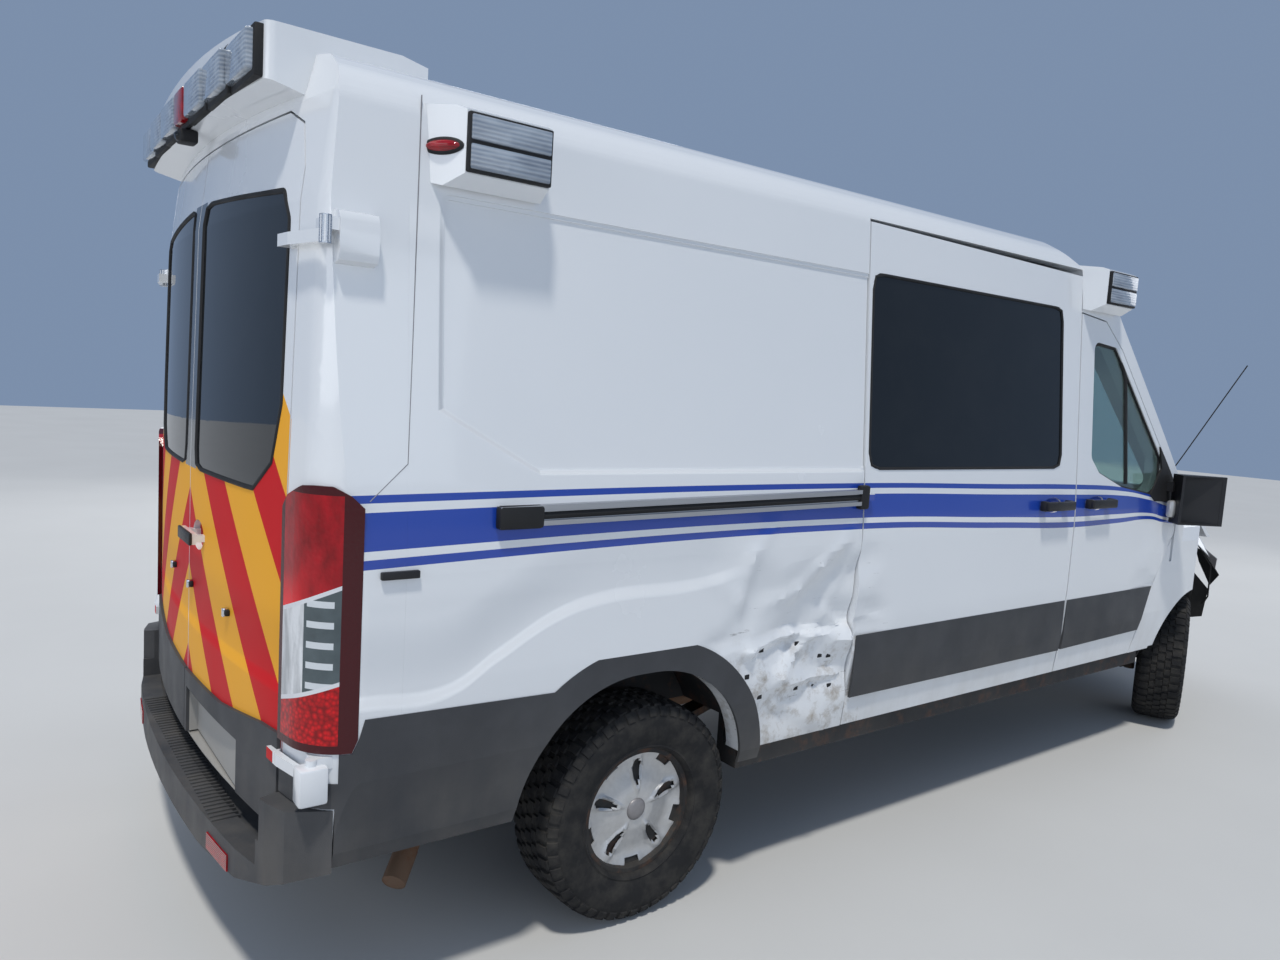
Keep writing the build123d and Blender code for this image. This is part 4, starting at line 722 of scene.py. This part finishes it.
# Wheels: knobbly tyres and silver covers
half_profile = [
    (0.203, 0.085), (0.209, 0.098), (0.216, 0.106), (0.222, 0.104), (0.240, 0.1105), (0.262, 0.1155),
    (0.270, 0.1165), (0.285, 0.1172), (0.300, 0.1165), (0.306, 0.1155), (0.3155, 0.1125), (0.326, 0.108),
    (0.335, 0.103), (0.3425, 0.094), (0.3465, 0.075), (0.348, 0.047), (0.3485, 0.018),
]
tyre_steps = 144
cover_steps = 120
crown_height = 0.0072
shoulder_height = 0.0048
block_edge = 0.0022


def sector(face, shift=0):
    """Which third of a tread block's pitch a face lies in."""
    centre = face.calc_center_median()
    turn = math.atan2(centre.z, centre.x) % (2 * math.pi)
    return (int(turn / (2 * math.pi) * tyre_steps) + shift) % 3


def raised(piece, low, high, inner, outer, shift, gap, height):
    """Raise tread blocks from the faces between two widths and two radii."""
    def in_block(face):
        centre = face.calc_center_median()
        radius = math.hypot(centre.x, centre.z)
        return low < centre.y < high and inner < radius < outer and sector(face, shift) != gap
    pick(piece, in_block)
    bpy.ops.mesh.inset(thickness=block_edge, depth=height, use_even_offset=False)


def model_tyre():
    mirrored = [(radius, -along) for radius, along in reversed(half_profile)]
    tyre = turned(half_profile + mirrored, tyre_steps, closed=True)
    columns = [(-0.0845, -0.0475, 0), (-0.0465, -0.0185, 2), (-0.0175, 0.0175, 1), (0.0185, 0.0465, 0),
               (0.0475, 0.0845, 2)]
    with editing(tyre):
        for low, high, shift in columns:
            raised(tyre, low, high, 0.3440, 0.3487, shift, 0, crown_height)
        for low, high, shift in [(0.085, 0.12, 1), (-0.12, -0.085, 0)]:
            raised(tyre, low, high, 0.3160, 0.3450, shift, 0, shoulder_height)
    return tyre


def model_cover():
    """A silver cover with five large and five small openings and a raised rim round each large one."""
    rings = [(0.036, 0.073), (0.045, 0.073), (0.060, 0.073), (0.070, 0.071), (0.080, 0.068), (0.095, 0.0645),
             (0.110, 0.061), (0.125, 0.058), (0.140, 0.056), (0.155, 0.057), (0.165, 0.059), (0.178, 0.063),
             (0.190, 0.066), (0.200, 0.070), (0.207, 0.068), (0.212, 0.062)]
    cover = turned(rings, cover_steps)

    def large(corner):
        """How far a place lies from the nearest large opening's middle: 1 on the ellipse round it."""
        radius = math.hypot(corner.x, corner.z)
        turn = math.degrees(math.atan2(corner.z, corner.x)) - 90
        off = math.radians((turn + 36) % 72 - 36) * radius
        narrow = 0.60 + 0.40 * min(1, max(0, (radius - 0.08) / 0.07))
        return math.hypot((radius - 0.122) / 0.041, off / (0.018 * narrow))

    def small(corner):
        radius = math.hypot(corner.x, corner.z)
        turn = math.degrees(math.atan2(corner.z, corner.x)) - 54
        off = (turn + 36) % 72 - 36
        return max(abs(radius - 0.1775) / 0.0135, abs(off) / 9)

    with editing(cover):
        bpy.ops.mesh.select_all(action="SELECT")
        pick(cover, lambda face: large(face.calc_center_median()) < 1.0
             or small(face.calc_center_median()) < 1.0)
        bpy.ops.mesh.delete(type="FACE")
    for corner in cover.data.vertices:
        lip = 0.009 * math.exp(-((large(corner.co) - 1.25) / 0.28) ** 2)
        rim = 0.005 * math.exp(-((small(corner.co) - 1.15) / 0.25) ** 2)
        corner.co.y += lip + rim
    solid = cover.modifiers.new("thickness", "SOLIDIFY")
    solid.thickness = 0.004
    alone(cover)
    bpy.ops.object.modifier_apply(modifier=solid.name)
    return cover


def fit_wheels():
    tyre = model_tyre()
    cover = model_cover()
    cap = turned([(0.0, 0.0840), (0.012, 0.0835), (0.024, 0.0815), (0.032, 0.0775), (0.036, 0.0715),
                  (0.036, 0.0640), (0.0, 0.0640)], 48)
    for wheel in ("front_left", "front_right", "rear_left", "rear_right"):
        joint = joints["spin_" + wheel]
        side = 1 if wheel.endswith("left") else -1
        place = frame_of(Vector(joint["axis"]) * side, joint["pos_m"])
        body = "wheel_" + wheel
        new_tyre = settled(copied(tyre, place), "tread_" + wheel, "tyre", body)
        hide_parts("tyre_" + wheel)
        settled(copied(cover, place), "cover_" + wheel, "silver_cover", body)
        settled(copied(cap, place), "cap_" + wheel, "cap_grey", body)
    for model in (tyre, cover, cap):
        discard(model)


# Crash damage: copies of the panels with a finer mesh, pushed in by listed dents
def fall_off(distance):
    """1 at distance 0, 0 from distance 1 on, smooth at both ends."""
    return (1 - distance * distance) ** 2 if distance < 1 else 0.0


def to_line(x, z, line):
    """Distance from a place to a line between two places."""
    start, end = Vector(line[0]), Vector(line[1])
    along = end - start
    share = max(0.0, min(1.0, (Vector((x, z)) - start).dot(along) / along.length_squared))
    return (Vector((x, z)) - start - along * share).length


# Dents: x, z, reach along, reach up, depth. Folds: start, end, reach, height (out is negative)
rear_dents = [
    (-1.06, 0.97, 0.34, 0.21, 0.040), (-1.22, 0.84, 0.28, 0.15, 0.034), (-1.00, 0.72, 0.22, 0.13, 0.040),
    (-1.20, 0.62, 0.20, 0.12, 0.024), (-0.95, 1.10, 0.13, 0.10, 0.018), (-1.38, 1.02, 0.14, 0.16, 0.020),
    (-1.46, 0.93, 0.09, 0.08, 0.014), (-1.55, 0.89, 0.10, 0.05, 0.010), (-0.93, 0.90, 0.14, 0.09, 0.026),
]
rear_folds = [
    ((-1.356, 1.245), (-1.424, 1.177), 0.030, -0.006), ((-1.424, 1.177), (-1.469, 1.031), 0.034, -0.010),
    ((-1.469, 1.031), (-1.465, 0.920), 0.030, -0.010), ((-0.966, 1.215), (-1.092, 1.116), 0.032, -0.008),
    ((-1.092, 1.116), (-1.198, 1.030), 0.036, -0.014), ((-1.198, 1.030), (-1.353, 0.998), 0.032, -0.012),
    ((-1.037, 0.939), (-0.909, 0.851), 0.036, -0.020), ((-1.088, 0.872), (-1.256, 0.732), 0.034, -0.019),
    ((-1.412, 0.846), (-1.213, 0.880), 0.030, -0.016), ((-1.213, 0.880), (-0.916, 0.840), 0.030, -0.019),
    ((-1.412, 0.846), (-1.321, 0.747), 0.032, -0.016), ((-1.238, 0.718), (-0.946, 0.700), 0.028, -0.017),
    ((-1.238, 0.639), (-0.993, 0.521), 0.036, -0.015), ((-0.914, 1.158), (-1.008, 0.990), 0.030, -0.009),
    ((-1.655, 1.138), (-1.468, 1.026), 0.028, -0.004), ((-1.160, 0.800), (-1.040, 0.660), 0.026, 0.010),
]
slider_dents = [(-0.87, 1.12, 0.13, 0.09, 0.013), (-0.83, 0.90, 0.16, 0.11, 0.020),
                (-0.80, 0.66, 0.18, 0.13, 0.013)]
slider_folds = [
    ((-0.886, 1.157), (-0.781, 1.063), 0.030, -0.006), ((-0.883, 0.923), (-0.757, 0.892), 0.030, -0.009),
    ((-0.849, 1.081), (-0.800, 0.960), 0.028, -0.006),
]
front_dents = [(1.40, 1.00, 0.20, 0.16, -0.010), (1.30, 0.86, 0.14, 0.10, 0.009)]
front_folds = [
    ((1.527, 1.135), (1.407, 0.897), 0.034, -0.005), ((1.407, 0.897), (1.268, 0.854), 0.030, -0.005),
]
def pushed_in(x, z, dents, folds):
    depth = 0.0
    for at_x, at_z, along, up, deep in dents:
        depth += deep * fall_off(math.hypot((x - at_x) / along, (z - at_z) / up))
    for start, end, reach, height in folds:
        depth += height * max(0.0, 1 - to_line(x, z, (start, end)) / reach)
    return depth


def cut_finer(piece, low, high, spacing):
    """Cut the piece's faces between two corners (x, z) along a square grid."""
    for axis, start, end in ((0, low[0], high[0]), (2, low[1], high[1])):
        count = round((end - start) / spacing)
        for step in range(count + 1):
            cut = start + (end - start) * step / count
            plane = [0, 0, 0]
            plane[axis] = 1
            point = [0, 0, 0]
            point[axis] = cut

            def near(face):
                xs = [corner.co.x for corner in face.verts]
                zs = [corner.co.z for corner in face.verts]
                here = (xs, None, zs)[axis]
                inside = max(xs) > low[0] and min(xs) < high[0] and max(zs) > low[1] and min(zs) < high[1]
                return inside and min(here) < cut < max(here)
            pick(piece, near)
            if piece.data.total_face_sel:
                bpy.ops.mesh.bisect(plane_co=point, plane_no=plane)


def dented(node, name, body, low, high, spacing, depth_at):
    """A copy of a panel, cut finer between two corners and pushed in; it takes the CAD piece's place."""
    piece = bpy.data.objects.new(name, nodes[node].data.copy())
    bpy.context.scene.collection.objects.link(piece)
    with editing(piece):
        bpy.ops.mesh.select_all(action="SELECT")
        bpy.ops.mesh.remove_doubles(threshold=0.00002)
        cut_finer(piece, low, high, spacing)
    if piece.data.has_custom_normals:
        bpy.ops.mesh.customdata_custom_splitnormals_clear()
    for corner in piece.data.vertices:
        if corner.co.y < -0.80:
            corner.co.y += depth_at(corner.co.x, corner.co.z)
    finish = next(part["material_slot"] for part in frame["record"]["subparts"] if part["node"] == node)
    settled(piece, name, finish, body, 30)
    weights = piece.modifiers.new("weights", "WEIGHTED_NORMAL")
    weights.keep_sharp = True
    bpy.ops.object.modifier_apply(modifier=weights.name)
    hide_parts(node)


def crash_damage():
    dented("body_side_right", "rear_panel_dented", "root", (-1.66, 0.50), (-0.89, 1.27), 0.026,
           lambda x, z: pushed_in(x, z, rear_dents, rear_folds))
    dented("sliding_door", "sliding_door_dented", "root", (-0.91, 0.50), (-0.62, 1.24), 0.030,
           lambda x, z: pushed_in(x, z, slider_dents, slider_folds))
    dented("door_front_right", "front_door_bulged", "door_front_right", (1.14, 0.70), (1.60, 1.18), 0.040,
           lambda x, z: pushed_in(x, z, front_dents, front_folds))
    holes = [(-1.344, 0.841), (-1.154, 0.837), (-1.030, 0.779), (-0.985, 0.774), (-1.148, 0.677),
             (-1.043, 0.663), (-1.411, 0.760), (-1.342, 0.680), (-0.967, 0.658)]
    for number, (x, z) in enumerate(holes, 1):
        depth = pushed_in(x, z, rear_dents, rear_folds)
        place = on_side("body_side_right", x, z) + Vector((0, depth, 0))
        low = place - Vector((0.011, 0.0015, 0.008))
        high = place + Vector((0.011, 0.003, 0.008))
        block(f"clip_hole_{number}", low, high, "rubber", soft=0.004)


# Lamps: the pod's bowed face, its lenses' heights and how far they stand out
pod_face, pod_bow, pod_half = -2.945, 0.033, 0.765
pod_low, pod_high = 2.405, 2.505
pod_proud = 0.024
bezel_edge = 0.009


def pod_skin(y):
    """Where the pod's bowed face lies at this distance from the middle."""
    return pod_face + pod_bow * (y / pod_half) ** 2


def light_pod():
    spans = [(-0.735, -0.526), (-0.512, -0.303), (-0.289, -0.080), (-0.062, 0.062), (0.080, 0.289),
             (0.303, 0.512), (0.526, 0.735)]
    for number, (right, left) in enumerate(spans, 1):
        face = pod_skin(max(abs(left), abs(right)))
        front = pod_skin(min(abs(left), abs(right))) if left * right > 0 else pod_face
        lens = "red_marker" if number == 4 else "clear_lens"
        block(f"pod_bezel_{number}", (front - 0.006, right - bezel_edge, pod_low - 0.015),
              (face + 0.010, left + bezel_edge, pod_high + 0.010), "rubber", soft=0.005)
        block(f"pod_lens_{number}", (front - pod_proud, right + 0.002, pod_low),
              (face + 0.004, left - 0.002, pod_high), lens, soft=0.009)
    block("pod_camera", (-2.966, -0.032, 2.350), (-2.915, 0.032, 2.388), "rubber", soft=0.006)
    eye = turned([(0.0, 0.010), (0.010, 0.008), (0.015, 0.0), (0.0, 0.0)], 24)
    settled(copied(eye, frame_of((-1, 0, -0.3), (-2.967, 0, 2.368))), "pod_camera_eye", "dark_glass")
    discard(eye)


# Side lights: ends of the rear pair, how far ahead the front pair is, lens heights
light_rear, light_front = -2.503, -2.277
pair_apart = 3.146
lens_rows = [("low", 2.205), ("high", 2.275)]
lens_height = 0.061


def side_lights():
    oval = turned([(0.0, 0.9), (0.35, 0.86), (0.7, 0.62), (0.92, 0.3), (1.0, 0.0), (0.0, 0.0)], 32)
    for end, shift in (("rear", 0.0), ("front", pair_apart)):
        for hand, side in (("left", 1), ("right", -1)):
            name = f"side_light_{end}_{hand}"
            low_x, high_x = light_rear + shift, light_front + shift
            inner, outer = sorted((side * 1.030, side * 1.049))
            block(name + "_frame", (low_x - 0.006, inner, 2.198), (high_x + 0.006, outer, 2.342), "rubber",
                  soft=0.004)
            inner, outer = sorted((side * 1.040, side * 1.054))
            for row, low_z in lens_rows:
                block(f"{name}_{row}", (low_x, inner, low_z), (high_x, outer, low_z + lens_height),
                      "clear_lens", soft=0.004)
            if end == "rear":
                outward = (-0.81, side * 0.586, 0)
                centre = Vector((-2.548, side * 0.985, 2.26))
                settled(copied(oval, frame_of(outward, centre, (0.058, 0.007, 0.022))), name + "_gasket",
                        "rubber")
                settled(copied(oval, frame_of(outward, centre, (0.050, 0.016, 0.015))), name + "_marker",
                        "red_marker")
    discard(oval)


# Handles, rails, seals and other small parts
def door_handle(name, low_x, high_x, side, body):
    inner, outer = sorted((side * 1.0535, side * 1.0745))
    block(name, (low_x - 0.004, inner, 1.270), (high_x + 0.004, outer, 1.310), "black_plastic", body, 0.007)
    inner, outer = sorted((side * 1.0300, side * 1.0600))
    for part, start in (("rear", low_x - 0.004), ("front", high_x - 0.022)):
        block(f"{name}_{part}", (start, inner, 1.268), (start + 0.026, outer, 1.312), "black_plastic",
              body, 0.005)


def small_parts():
    door_handle("handle_slider", 0.276, 0.492, -1, "root")
    door_handle("handle_front_right", 0.658, 0.871, -1, "door_front_right")
    door_handle("handle_front_left", 0.658, 0.871, 1, "door_front_left")
    grip = on_rear("rear_door_right", -0.12, 1.162)
    block("handle_rear", (grip.x - 0.006, -0.204, 1.143), (grip.x + 0.004, -0.036, 1.181), "black_plastic",
          "rear_door_right", 0.004)
    clips = [(0.241, 1.001, "rear_door_left"), (-0.048, 0.994, "rear_door_right"),
             (-0.442, 0.992, "rear_door_right")]
    for number, (y, z, body) in enumerate(clips, 1):
        skin = on_rear(body, y, z)
        block(f"clip_{number}", (skin.x - 0.012, y - 0.018, z - 0.009),
              (skin.x + 0.003, y + 0.018, z + 0.009), "rubber", body, 0.004)
        block(f"clip_{number}_pin", (skin.x - 0.017, y - 0.006, z - 0.013), (skin.x, y + 0.006, z + 0.013),
              "chrome", body, 0.003)
    block("rail_end_cap", (-2.376, -1.049, 1.300), (-2.237, -1.018, 1.364), "rubber", soft=0.010)
    block("rail_front_block", (-0.935, -1.047, 1.312), (-0.888, -1.020, 1.398), "rubber", soft=0.008)
    # A black cord along the rail's channel: painted shade for the channel's dark inside
    strip("rail_channel_shade", [(-2.240, -1.031, 1.334), (-0.930, -1.031, 1.355)], 0.024, "rubber")
    seam = [(-2.590, 2.380), (-2.609, 1.787), (-2.620, 1.473), (-2.716, 1.382)]
    strip("corner_seam", [on_side("body_side_right", x, z, lift=-0.001) for x, z in seam], 0.0035,
          "cap_grey")
    stop = on_side("body_side_right", -2.638, 1.198)
    block("door_stop", (-2.688, stop.y - 0.012, 1.188), (-2.588, stop.y + 0.004, 1.208), "black_plastic")
    for number, middle in enumerate((-0.61, 0.61), 1):
        corners = [(middle - 0.08, 0.347), (middle, 0.347), (middle + 0.08, 0.347), (middle + 0.08, 0.393),
                   (middle, 0.393), (middle - 0.08, 0.393)]
        plate(f"step_reflector_{number}", [on_rear("rear_bumper", y, z, 0.002) for y, z in corners], 0.005,
              "red_marker")
    rib_count, rib_apart = 45, 0.025
    rib = block("step_ribs", (-2.962, -0.5535, 0.4280), (-2.885, -0.5465, 0.4350), "grey_plastic", soft=0.002)
    row = rib.modifiers.new("row", "ARRAY")
    row.count = rib_count
    row.use_relative_offset = False
    row.use_constant_offset = True
    row.constant_offset_displace = (0, rib_apart, 0)
    alone(rib)
    bpy.ops.object.modifier_apply(modifier=row.name)


door_window = [(0.700, 2.035), (0.705, 1.500), (0.780, 1.430), (1.000, 1.360), (1.300, 1.318), (1.390, 1.360),
               (1.400, 1.500), (1.130, 1.850), (0.905, 2.020)]
side_window = [(-0.868, 1.455), (-0.868, 2.160), (0.415, 2.160), (0.440, 1.455)]
rear_window = [(0.070, 1.365), (0.620, 1.365), (0.740, 1.450), (0.785, 1.600), (0.785, 2.060), (0.740, 2.140),
               (0.070, 2.170)]


def nearest(node, place):
    return surface(node).find_nearest(Vector(place))[0]


def seals():
    """Rubber round the windows."""
    for hand, side in (("left", 1), ("right", -1)):
        outline = [nearest("side_glass", (x, side * 1.02, z)) for x, z in traced(side_window, closed=True)]
        strip("side_window_seal_" + hand, [place + Vector((0, side * 0.001, 0)) for place in outline], 0.012,
              "rubber", closed=True)
        door = "rear_door_" + hand
        outline = [nearest("rear_glass_" + hand, (-2.92, side * y, z)) for y, z in
                   traced(rear_window, closed=True)]
        strip("rear_window_seal_" + hand, outline, 0.014, "rubber", door, closed=True)
        door = "door_front_" + hand
        outline = [nearest("door_glass_" + hand, (x, side * 1.02, z)) for x, z in
                   traced(door_window, closed=True)]
        strip("door_window_seal_" + hand, outline, 0.016, "rubber", door, closed=True)
        bar = [nearest("door_glass_" + hand, (x, side * 1.02, z)) for x, z in
               traced([(1.012, 2.0), (1.060, 1.375)])]
        strip("door_window_bar_" + hand, bar, 0.022, "rubber", door)


def mirrors_and_antenna():
    for hand, side in (("left", 1), ("right", -1)):
        outline = [(1.290, 1.322), (1.385, 1.450), (1.372, 1.560), (1.490, 1.437), (1.585, 1.325),
                   (1.560, 1.275), (1.340, 1.285)]
        places = [nearest("door_front_" + hand, (x, side * 1.03, z)) + Vector((0, side * 0.003, 0))
                  for x, z in outline]
        plate("mirror_base_" + hand, places, 0.010, "rubber", "door_front_" + hand)
    block("mirror_glass_left", (1.441, 1.036, 1.262), (1.447, 1.222, 1.578), "chrome",
          "door_front_left", 0.002)
    rod = [(1.66, -0.885, 1.30), (1.72, -0.98, 1.52), (1.80, -1.10, 1.81), (1.85, -1.18, 2.0)]
    strip("antenna", rod, 0.006, "rubber")


def torn_corner():
    """Torn liner and panel scraps that hang at the right front corner."""
    scraps = [
        ([(2.24, -0.86, 1.02), (2.33, -0.92, 0.93), (2.42, -0.90, 0.90), (2.47, -0.83, 0.98),
          (2.36, -0.82, 1.06)],
         "white_paint"),
        ([(2.40, -0.88, 0.93), (2.49, -0.93, 0.80), (2.56, -0.86, 0.72), (2.52, -0.80, 0.86),
          (2.45, -0.80, 0.95)],
         "rubber"),
        ([(2.46, -0.80, 0.80), (2.52, -0.87, 0.70), (2.58, -0.83, 0.52), (2.54, -0.76, 0.50),
          (2.49, -0.74, 0.70)],
         "rubber"),
        ([(2.32, -0.88, 0.98), (2.38, -0.95, 0.91), (2.45, -0.92, 0.84), (2.42, -0.86, 0.93)], "cap_grey"),
    ]
    for number, (outline, finish) in enumerate(scraps, 1):
        plate(f"torn_scrap_{number}", outline, 0.004, finish)
    wire = [(2.30, -0.86, 1.00), (2.41, -0.91, 0.86), (2.50, -0.88, 0.66), (2.54, -0.84, 0.60)]
    strip("torn_wire", wire, 0.009, "rubber")


def mirror_arm():
    """The bare silver inner end of the knocked mirror."""
    arm = block("mirror_arm_right", (1.430, -1.090, 1.205), (1.520, -1.045, 1.290), "silver_cover",
                "door_front_right", 0.012)
    with editing(arm):
        pick(arm, lambda face: face.calc_center_median().y < -1.085)
        bpy.ops.transform.resize(value=(0.6, 1, 0.6))


def corner_hinge():
    """The lower rear hinge: a white block over the bumper's corner."""
    block("lower_hinge_right", (-2.872, -1.030, 0.640), (-2.800, -0.975, 0.735), "white_paint", soft=0.008)


def hinges():
    for hand, side in (("left", 1), ("right", -1)):
        y = side * abs(rear_hinge.y)
        strip("rear_hinge_pin_" + hand, [(rear_hinge.x, y, 1.982), (rear_hinge.x, y, 2.048)], 0.030,
              "hinge_steel")


def exhaust_tip():
    ring = turned([(0.037, 0.0), (0.0365, -0.11), (0.033, -0.11), (0.0335, 0.0)], 40, closed=True)
    place = frame_of((-140, -140, -125), (-2.470, -0.660, 0.165))
    settled(copied(ring, place), "exhaust_tip", "exhaust_steel")
    discard(ring)


def wipers():
    """Two wiper blades along the foot of the windscreen."""
    for name, start, end in (("right", (1.93, -0.60), (1.86, -0.02)), ("left", (1.93, 0.08), (1.86, 0.64))):
        points = []
        for x, y in traced([start, end], 0.08):
            place = surface("windscreen").ray_cast(Vector((x, y, 2.6)), Vector((0, 0, -1)))[0]
            if place is not None:
                points.append(place + Vector((0.006, 0, 0.008)))
        strip("wiper_" + name, points, 0.012, "rubber")


def lay_floor():
    alone()
    bpy.ops.mesh.primitive_plane_add(size=60, location=(0, 0, 0))
    floor = bpy.context.object
    floor.name = "floor"
    finish = Finish("floor")
    finish.set(colour=finish.mix(finish.noise(0.8, 5), (0.52, 0.52, 0.51), (0.58, 0.58, 0.57)), rough=0.85)
    floor.data.materials.append(finish.material)


aim_camera()
light_studio()
lay_floor()
dress_nodes()
fit_wheels()
crash_damage()
light_pod()
side_lights()
small_parts()
seals()
mirrors_and_antenna()
torn_corner()
mirror_arm()
corner_hinge()
hinges()
exhaust_tip()
wipers()
